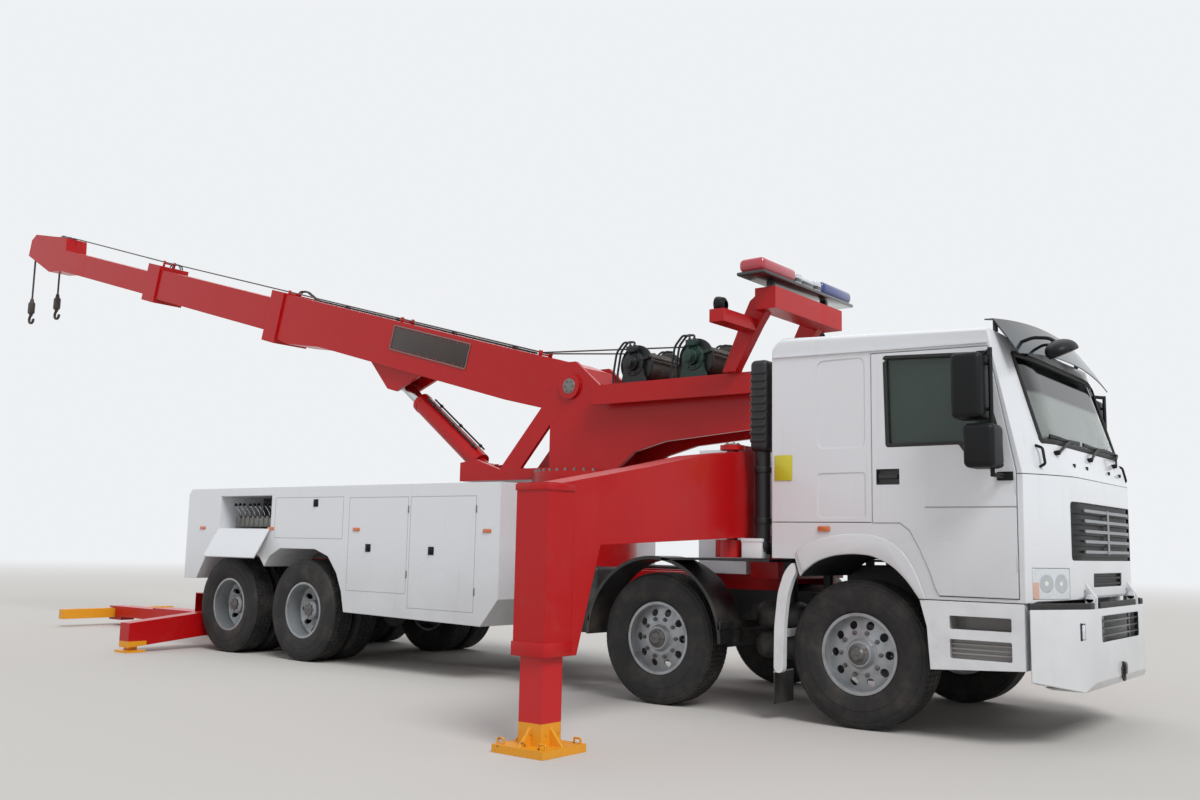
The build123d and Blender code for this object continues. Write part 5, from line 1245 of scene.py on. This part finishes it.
for x in WINCH_XS:
    wraps = [(-DRUM_HALF_W - 1, 128)]
    for y in range(-DRUM_HALF_W, DRUM_HALF_W - ROPE_PITCH, ROPE_PITCH):
        wraps += [(y + share * ROPE_PITCH, r) for share, r in ((0.2, 137), (0.5, 142), (0.8, 137), (1, 128))]
    wraps.append((DRUM_HALF_W + 1, 128))
    turned(form, wraps, (x, 0, WINCH_Z), 48)
    for out in (-1, 1):
        for near, far, radius in ((250, 270, 190), (269, 330, 118), (329, 380, 74)):
            rod(form, (x, out * near, WINCH_Z), (x, out * far, WINCH_Z), radius, sides=48, edge=5)
        cheek = [(x - 150, DECK_Z), (x + 150, DECK_Z), (x + 80, WINCH_Z + 60), (x - 80, WINCH_Z + 60)]
        prism(form, softened(cheek, 40), "Y", out * 290, out * 320)
        arm = [
            (x + 60, WINCH_Z + 20), (x + 60, WINCH_Z + 50), (x + 165, WINCH_Z + 76), (x + 165, WINCH_Z + 44)
        ]
        prism(form, arm, "Y", out * 290, out * 310)
    rod(form, (x + 165, -300, WINCH_Z + 60), (x + 165, 300, WINCH_Z + 60), 16)
bmesh.ops.recalc_face_normals(form, faces=form.faces)
piece = placed(form, "winch_drums", "turret", winch_parts)
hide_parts("winches")

# Winch drives: ribbed hydraulic motors bolted to the end drives, their valve blocks, and steel
# pipes clipped from each motor down to the deck.
pipe_steel = mottled("pipe_steel", 9.0, "232527", "3B3D3E", detail=4.0, Roughness=0.35, Metallic=0.4)
form = bmesh.new()
for x in WINCH_XS:
    for out in (-1, 1):
        for i in range(3):
            y = out * (384 + 16 * i)
            rod(form, (x, y, WINCH_Z), (x, y + out * 9, WINCH_Z), 62 - 6 * i, sides=28, edge=2)
        slab(form, (x - 52, out * 300, 3138), (x + 52, out * 372, 3196), edge=6)
        for along, up in ringed(8, 96, 20):
            nx, nz = x + along, WINCH_Z + up
            rod(form, (nx, out * 329, nz), (nx, out * 341, nz), 8, sides=6)
placed(form, "winch_motors", "turret", winch_parts)
form = bmesh.new()
PIPE_RUN = [
    (0, 336, 3190), (0, 336, 3236), (90, 318, 3250), (190, 300, 3160), (235, 288, 2960), (235, 288, 2832),
]
for winch_x in WINCH_XS:
    for out in (-1, 1):
        for x in (winch_x - 26, winch_x + 26):
            pipe(form, [(x - back, out * y, z) for back, y, z in PIPE_RUN], 11, 70)
            rod(form, (x, out * 336, 3188), (x, out * 336, 3212), 17, sides=6, edge=1.5)
            rod(form, (x - 235, out * 288, 2830), (x - 235, out * 288, 2852), 18, sides=6, edge=1.5)
for y in (-170, -120, 120, 170):
    pipe(form, [(-2950, y, 2846), (-2500, y, 2846), (-1900, y, 2846), (-1320, y, 2846)], 12, 60)
    for x in (-2880, -2350, -1780, -1360):
        slab(form, (x - 14, y - 20, 2829), (x + 14, y + 20, 2862), edge=4)
placed(form, "deck_pipes", "turret", pipe_steel)

# Warning light bar: ribbed acrylic domes, red on the right and blue on the left, a clear centre
# and a black moulded base.
paint = Finish("beacon_lens")
base_part = 1 - paint.up.above(3.6225, 3.6235)
middle = paint.aside.within(0.0, 0.252)
flutes = bands("Y", 9.0)
base = paint.mix(paint.left.above(-0.01, 0.01), rgb("B12A3A"), rgb("20357E"))
base = paint.mix(middle, base, rgb("C9CED2"))
base = paint.mix(middle * paint.up.within(3.64, 3.67), base, rgb("26282A"))
beacon_lens = paint.skin(
    Base_Color=paint.mix(base_part, base, rgb("17181A")),
    Roughness=0.1 + base_part * 0.3,
    Coat_Weight=0.9,
    height=flutes,
    strength=0.35,
    distance=0.003,
)
form = bmesh.new()
slab(form, (-1235, -853, 3590), (-965, 853, 3623), edge=12)
for out in (-1, 1):
    slab(form, (-1225, out * 250, 3621), (-975, out * 845, 3741), edge=48, segments=5)
    slab(form, (-1215, out * 120, 3621), (-985, out * 249, 3725), edge=30, segments=4)
    slab(form, (-1130, out * 500 - 25, 3520), (-1070, out * 500 + 25, 3592), edge=4)
slab(form, (-1205, -121, 3621), (-995, 121, 3710), edge=30, segments=4)
bmesh.ops.recalc_face_normals(form, faces=form.faces)
piece = placed(form, "light_bar_pods", "turret", beacon_lens)
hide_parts("light_bar")

# Work lamps on the portal's stubs: round black moulded housings, each bolted on by a short stem.
form = bmesh.new()
for out in (-1, 1):
    housing = [(0, 30), (20, 62), (60, 74), (86, 76), (90, 70), (84, 66), (84, 0.5)]
    aim = Matrix.Translation((-1300, out * 900, 3345)) @ Matrix.Rotation(math.radians(90), 4, "Z")
    bmesh.ops.transform(form, matrix=aim, verts=list(turned(form, housing, (0, 0, 0), 32)))
    rod(form, (-1300, out * 900, 3278), (-1300, out * 900, 3300), 12)
bmesh.ops.recalc_face_normals(form, faces=form.faces)
placed(form, "work_lamps", "turret", black_plastic)

# The boom carries small fittings, placed on a drawing of its own: s runs out along the boom from its
# pivot, and h stands square to it. It is raised by 15.2 degrees.
BOOM_TILT = math.radians(15.2)


def on_boom(s, h, y=0.0):
    """A place on the boom's drawing, given on the truck's."""
    c, n = math.cos(BOOM_TILT), math.sin(BOOM_TILT)
    return (PIVOT_X - s * c + h * n, y, PIVOT_Z + s * n + h * c)


def boom_slab(form, s, h, y, edge=4):
    """Adds a rounded block between two values each of s, h and y."""
    middle = on_boom(sum(s) / 2, sum(h) / 2, sum(y) / 2)
    size = (abs(s[1] - s[0]) / 2, abs(y[1] - y[0]) / 2, abs(h[1] - h[0]) / 2)
    low, high = ([m + sign * d for m, d in zip(middle, size)] for sign in (-1, 1))
    slab(form, low, high, edge=edge, turn=Matrix.Rotation(BOOM_TILT, 3, "Y"))


# Load hooks: each rope ends in a cast steel weight with a swivel and a forged hook. They hang free
# under the head, one on each side of it.
form = bmesh.new()
for s, y, drop in ((12420, -110, 900), (11956, 110, 620)):
    x, _, top = on_boom(s, -341 + (s - 11723) * 0.2041, y)
    low = top - drop
    rod(form, (x, y, top - 4), (x, y, low + 120), 15)
    rod(form, (x, y, low + 210), (x, y, low + 140), 24, end_radius=38)
    slab(form, (x - 62, y - 44, low - 58), (x + 62, y + 44, low + 152), edge=34, segments=4)
    rod(form, (x, y, low - 50), (x, y, low - 84), 30, edge=4)
    made = bmesh.ops.create_circle(form, cap_ends=True, segments=16, radius=24)
    bmesh.ops.translate(form, verts=made["verts"], vec=(x, y, low - 84))
    rim = {edge for vert in made["verts"] for edge in vert.link_edges}
    cap = {face for vert in made["verts"] for face in vert.link_faces}
    swept = bmesh.ops.spin(
        form, geom=[*made["verts"], *rim, *cap], cent=(x + 26, y, low - 150), axis=(0, 1, 0),
        angle=math.radians(-250), steps=22,
    )
    tip = [item for item in swept["geom_last"] if isinstance(item, bmesh.types.BMVert)]
    middle = sum((vert.co for vert in tip), Vector()) / len(tip)
    bmesh.ops.scale(form, vec=(0.4, 0.4, 0.4), space=Matrix.Translation(-middle), verts=tip)
bmesh.ops.recalc_face_normals(form, faces=form.faces)
piece = placed(form, "load_hooks", "boom_tip", forged)
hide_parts("hooks")

# Collars of the front outriggers: flat bar welded round the upright tube above its mouth and at
# its head, where the leg slides through.
for side, out in SIDES.items():
    form = bmesh.new()
    for low, high in ((592, 682), (1630, 1672)):
        for end in (-1, 1):
            low_corner = (-1080 + end * 129, out * 3445 - 139, low)
            slab(form, low_corner, (-1080 + end * 139, out * 3445 + 139, high), edge=4)
            slab(form, (-1217, out * 3445 + end * 129, low), (-943, out * 3445 + end * 139, high), edge=4)
    placed(form, f"leg_collars_{side}", f"outrigger_arm_{side}", red_enamel)

# Blank rating plates on both sides of the boom: dark painted sheet in a light frame, held on by a
# row of rivets above and below.
plate_sheet = mottled(
    "plate_sheet", 4.0, "2B2220", "44352F", detail=5.0, grain=8.0, strength=0.08, Roughness=0.35
)
plate_frame = mottled("plate_frame", 20.0, "8E8A84", "6B6660", Roughness=0.4, Metallic=0.3)
for side, out in SIDES.items():
    form = bmesh.new()
    boom_slab(form, (1600, 2860), (-95, 155), (out * 235, out * 241), edge=2)
    placed(form, f"rating_plate_{side}", "boom", plate_sheet)
    form = bmesh.new()
    corners = [(1585, -110), (2875, -110), (2875, 170), (1585, 170)]
    pipe(form, [on_boom(s, h, out * 240) for s, h in corners], 7, 20, closed=True)
    for s in range(1640, 2860, 145):
        for h in (-84, 144):
            rod(form, on_boom(s, h, out * 240), on_boom(s, h, out * 245), 7, sides=10, end_radius=4)
    placed(form, f"plate_frame_{side}", "boom", plate_frame)

# Sliding pads: black nylon blocks at the mouth of each boom section, which carry the next one. A
# bolt holds each side block.
nylon = mottled("nylon_pads", 15.0, "1C1C1D", "33312F", Roughness=0.55)
for body, end, half, low, high in (("boom", 5360, 205, -293, 137), ("boom_mid", 8560, 172, -272, 72)):
    form = bmesh.new()
    for out in (-1, 1):
        for h0 in (low + 30, high - 110):
            boom_slab(form, (end, end + 16), (h0, h0 + 80), (out * (half + 3), out * (half + 40)))
            y = out * (half + 22)
            rod(form, on_boom(end + 14, h0 + 40, y), on_boom(end + 24, h0 + 40, y), 9, sides=6)
        boom_slab(form, (end, end + 16), (high + 3, high + 38), sorted((out * 40, out * 150)))
    placed(form, f"sliding_pads_{body}", body, nylon)

# Wire ropes of the two winches: galvanised strand led off the drums, over guide rollers and along
# the boom's back to the sheaves in its head. They are taut.
paint = Finish("wire_rope")
lay = bands("DIAGONAL", 60.0)
wire_rope = paint.skin(
    Base_Color=paint.mix(lay, rgb("2E2D2C"), rgb("6F6C68")), Roughness=0.5, Metallic=0.5,
    height=lay, strength=0.4, distance=0.002, round_edge=0.001,
)
ROPE_H = 262
for name, x, y in (("rear", -2705, 45), ("front", -2020, -45)):
    form = bmesh.new()
    start, guide = (x, y, 3030 + 150), on_boom(700, ROPE_H, y)
    pipe(form, [start, guide, on_boom(1100, ROPE_H, y)], 8, 40)
    rope = placed(form, f"{name}_rope_lead", None, wire_rope)
    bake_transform(rope)
for before, body, spans in (
    (None, "boom", [(1080, ROPE_H), (5400, ROPE_H)]),
    ("boom", "boom_mid", [(5390, ROPE_H), (8620, ROPE_H)]),
    ("boom_mid", "boom_tip", [(8600, ROPE_H), (11360, 292), (12300, 222), (12440, 190)]),
):
    form = bmesh.new()
    for y in (-45, 45):
        pipe(form, [on_boom(s, h, y) for s, h in spans], 8, 60)
    rope = placed(form, f"ropes_{body}", None if before else body, wire_rope)
    if before:
        start, end = (DRAWING @ Vector(on_boom(s, ROPE_H)) for s, _ in spans[:2])
        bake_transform(rope)

# Rope guides: a pair of red lugs with a steel roller on each section's collar, and grooved sheaves
# that show through the head.
for body, where, foot in (("boom", (690, 2950, 5225), 222), ("boom_mid", (8400,), 196)):
    form = bmesh.new()
    for s in where:
        for y in (-88, 76):
            boom_slab(form, (s - 26, s + 26), (foot, 284), (y, y + 12))
        rod(form, on_boom(s, 243, -92), on_boom(s, 243, 92), 10, edge=2)
    placed(form, f"rope_guides_{body}", body, red_enamel)
form = bmesh.new()
for s, h in ((12395, 80), (11700, 170)):
    for y in (-45, 45):
        groove = [(-22, 0.5), (-22, 128), (-17, 132), (-8, 116), (8, 116), (17, 132), (22, 128), (22, 0.5)]
        turned(form, groove, on_boom(s, h, y), 40)
bmesh.ops.recalc_face_normals(form, faces=form.faces)
placed(form, "head_sheaves", "boom_tip", nut_steel)

# Boom feed pipes: steel tubes held in clamps along the boom's back, and arched where they pass over
# a collar.
form = bmesh.new()
run = [(980, 238), (2200, 238), (3600, 238), (4950, 238), (5060, 275), (5200, 318), (5320, 300), (5356, 262)]
for y in (150, 185):
    pipe(form, [on_boom(s, h, y) for s, h in run], 11, 60)
    for s in (1300, 2300, 3300, 4300):
        boom_slab(form, (s - 14, s + 14), (222, 254), (y - 18, y + 18), edge=3)
placed(form, "boom_pipes", "boom", pipe_steel)
form = bmesh.new()
run = [(8262, 205), (8300, 250), (8400, 268), (8520, 240), (8556, 205)]
for y in (110, 145):
    pipe(form, [on_boom(s, h, y) for s, h in run], 10, 50)
placed(form, "collar_pipes", "boom_mid", pipe_steel)

# Lift cylinder: hard-chromed rod, a gland bolted to the barrel's end, and two steel feed pipes
# clipped along the barrel.
paint = Finish("hard_chrome")
chrome = paint.skin(Base_Color=rgb("C9CDD0"), Roughness=0.12 + paint.noise(18.0) * 0.08, Metallic=1.0)
dress(chrome, "lift_rod")
FOOT, EYE = Vector((-4900, 0, 2085)), Vector(on_boom(2755, -482))
LINE = (EYE - FOOT).normalized()
LIFT_END = (EYE - FOOT).length - 378
form = bmesh.new()
rod(form, FOOT + LINE * (LIFT_END - 70), FOOT + LINE * (LIFT_END - 4), 116, sides=40, edge=3)
across_line = LINE.cross(Vector((0, 1, 0)))
for up, across in ringed(10, 104):
    spot = FOOT + LINE * (LIFT_END - 5) + across_line * up + Vector((0, across, 0))
    rod(form, spot, spot + LINE * 9, 8, sides=6, edge=1)
placed(form, "lift_gland", "lift_barrel", red_enamel)
form = bmesh.new()
for y in (-60, 60):
    lift = across_line * -118 if across_line.z < 0 else across_line * 118
    points = [FOOT + LINE * 230 + lift, FOOT + LINE * 700 + lift, FOOT + LINE * (LIFT_END - 120) + lift]
    pipe(form, [point + Vector((0, y, 0)) for point in points], 11, 60)
    for d in (300, 700, 1100):
        spot = FOOT + LINE * d + lift + Vector((0, y, 0))
        rod(form, spot - LINE * 16, spot + LINE * 16, 18, sides=16, edge=3)
placed(form, "lift_pipes", "lift_barrel", pipe_steel)

# Outrigger feet and cross head: signal yellow over steel, chipped where it meets the ground. The
# drop legs above the feet are red.
paint = Finish("signal_yellow")
chips = paint.noise(22.0, 6.0, 0.7).above(0.6, 0.66) * (1 - paint.up.above(0.02, 0.2))
leg_red = paint.up.above(0.185, 0.187) * paint.aside.above(3.0, 3.01)
base = paint.mix(leg_red, rgb("E39A1C"), rgb("C01317"))
yellow = paint.skin(
    Base_Color=paint.mix(chips, base, rgb("4A3A2C")),
    Roughness=0.38 + paint.noise(9.0) * 0.2,
    height=paint.noise(30.0),
    strength=0.1,
)
dress(yellow, "underlift_head", *both("outrigger_leg"))
for side, out in SIDES.items():
    form = bmesh.new()
    for x in (-1250, -910):
        for y in (3275, 3615):
            loop = [(x - 26, 48), (x - 26, 84), (x + 26, 84), (x + 26, 48)]
            pipe(form, [(along, out * y, z) for along, z in loop], 7, 18)
    placed(form, f"foot_loops_{side}", f"outrigger_leg_{side}", yellow)

# Locker fittings: black square turn-latches in the doors, stainless hinges, and the blank rear
# doors with the tail-lamp clusters.
form = bmesh.new()
for out in (-1, 1):
    for x, z in ((-5346, 1217), (-4423, 1204), (-6220, 1681)):
        slab(form, (x - 40, out * 1246, z - 40), (x + 40, out * 1254, z + 40), edge=5)
        rod(form, (x, out * 1252, z), (x, out * 1262, z), 24, sides=24, edge=3)
        slab(form, (x - 9, out * 1260, z - 30), (x + 9, out * 1270, z + 30), edge=3)
placed(form, "locker_latches", "truck", black_plastic)
form = bmesh.new()
for out in (-1, 1):
    for front_x, low, high in ((-3834, 640, 1735), (-4769, 775, 1735)):
        for z in (low + 160, high - 160):
            rod(form, (front_x + 8, out * 1250, z), (front_x + 8, out * 1250, z + 70), 7, sides=14, edge=1)
    for y in (700, 1190):
        rod(form, (-8630, out * y, 1150), (-8630, out * y, 1220), 8, sides=14, edge=1)
placed(form, "locker_hinges", "truck", zinc)
form = bmesh.new()
for out in (-1, 1):
    slab(form, (-8632, out * 700, 1090), (-8622, out * 1205, 1730), edge=4)
placed(form, "rear_doors", "truck", white_enamel)
paint = Finish("red_acrylic")
ribs = bands("Z", 14.0)
red_acrylic = paint.skin(
    Base_Color=paint.mix(ribs, rgb("9E1218"), rgb("B5242A")), Roughness=0.15, Coat_Weight=0.9, height=ribs,
    strength=0.2, distance=0.001,
)
for name, near, far, material in (
    ("brake_lamps", 1110, 1215, red_acrylic), ("turn_lamps", 1010, 1102, amber_acrylic),
    ("reverse_lamps", 910, 1002, clear_lens),
):
    form = bmesh.new()
    for out in (-1, 1):
        slab(form, (-8644, out * near, 900), (-8622, out * far, 1000), edge=8, segments=3)
    placed(form, name, "truck", material)

# Control bank in the open locker: a cast valve block of nine sections, each with a chromed lever
# and a turned black knob.
form = bmesh.new()
slab(form, (-7900, -1080, 1424), (-7080, -960, 1530), edge=10)
for i in range(9):
    x = -7860 + i * 92
    slab(form, (x, -1090, 1436), (x + 40, -950, 1548), edge=5)
placed(form, "valve_block", "truck", zinc)
LEVERS = [(-7840 + 92 * i, -1128 - 8 * (i % 3)) for i in range(9)]
form = bmesh.new()
for x, y in LEVERS:
    pipe(form, [(x, -1050, 1545), (x, -1070, 1600), (x, y, 1668)], 6, 20)
placed(form, "levers", "truck", chrome)
knob = [(-19, 0.5), (-17, 9), (-8, 17), (6, 18), (15, 11), (18, 0.5)]
form = bmesh.new()
for x, y in LEVERS:
    turned(form, knob, (x, y - 4, 1676), 18)
bmesh.ops.recalc_face_normals(form, faces=form.faces)
placed(form, "lever_knobs", "truck", black_plastic)

# Studio: a pale floor that fades into a pale backdrop, soft daylight, and the camera at the
# photograph's viewpoint, 9 m to the right of the front axle and 1.3 m up.
BACKDROP = (0.86, 0.88, 0.9, 1.0)
ground = bmesh.new()
bmesh.ops.create_circle(ground, cap_ends=True, segments=96, radius=90.0)
floor_mesh = bpy.data.meshes.new("floor")
ground.to_mesh(floor_mesh)
ground.free()
floor = bpy.data.objects.new("floor", floor_mesh)
bpy.context.scene.collection.objects.link(floor)
paint = Finish("pale_floor")
reach = paint.node("ShaderNodeVectorMath", {"operation": "LENGTH"}, paint.place, output="Value")
reach = reach.above(16.0, 55.0)
floor_skin = paint.node("ShaderNodeBsdfDiffuse", {}, Color=rgb("C9C6C1"))
far_skin = paint.node("ShaderNodeEmission", {}, Color=BACKDROP, Strength=1.0)
blend = paint.node("ShaderNodeMixShader", {}, reach, floor_skin, far_skin)
paint.node("ShaderNodeOutputMaterial", {}, Surface=blend)
floor_mesh.materials.append(paint.material)

world = bpy.data.worlds.new("daylight")
bpy.context.scene.world = world
world.use_nodes = True
sky = world.node_tree
sky.nodes.clear()
rays = sky.nodes.new("ShaderNodeLightPath")
seen = rays.outputs["Is Camera Ray"]
for ray in ("Is Glossy Ray", "Is Transmission Ray"):
    either = sky.nodes.new("ShaderNodeMath")
    either.operation = "MAXIMUM"
    sky.links.new(seen, either.inputs[0])
    sky.links.new(rays.outputs[ray], either.inputs[1])
    seen = either.outputs[0]
shades = []
for colour, strength in (((0.92, 0.95, 1.0, 1.0), 0.62), (BACKDROP, 1.0)):
    shade = sky.nodes.new("ShaderNodeBackground")
    shade.inputs["Color"].default_value = colour
    shade.inputs["Strength"].default_value = strength
    shades.append(shade.outputs[0])
choose = sky.nodes.new("ShaderNodeMixShader")
sky.links.new(seen, choose.inputs[0])
sky.links.new(shades[0], choose.inputs[1])
sky.links.new(shades[1], choose.inputs[2])
sky.links.new(choose.outputs[0], sky.nodes.new("ShaderNodeOutputWorld").inputs["Surface"])

for name, heading, strength, softness in (
    ("sun", (0.95, -0.5, 1.15), 1.8, 25), ("fill", (-0.5, 0.6, 0.9), 0.4, 60),
):
    light = bpy.data.lights.new(name, "SUN")
    light.energy, light.angle = strength, math.radians(softness)
    lamp = bpy.data.objects.new(name, light)
    lamp.rotation_euler = Vector(heading).to_track_quat("Z", "Y").to_euler()
    bpy.context.scene.collection.objects.link(lamp)

yaw, pitch, roll = math.radians(38.114), math.radians(-7.310), math.radians(1.148)
look = Vector((-math.sin(yaw) * math.cos(pitch), math.cos(yaw) * math.cos(pitch), -math.sin(pitch)))
side = Vector((math.cos(yaw), math.sin(yaw), 0))
up = side.cross(look)
across = math.cos(roll) * side + math.sin(roll) * up
upward = math.cos(roll) * up - math.sin(roll) * side
camera_data = bpy.data.cameras.new("camera")
camera_data.sensor_width, camera_data.lens = 36.0, 34.02
camera = bpy.data.objects.new("camera", camera_data)
turn = Matrix((across, upward, -look)).transposed().to_4x4()
camera.matrix_world = Matrix.Translation(DRAWING @ Vector((3705, -8997, 1289))) @ turn
bpy.context.scene.collection.objects.link(camera)
bpy.context.scene.camera = camera
bpy.context.scene.view_settings.view_transform = "Standard"
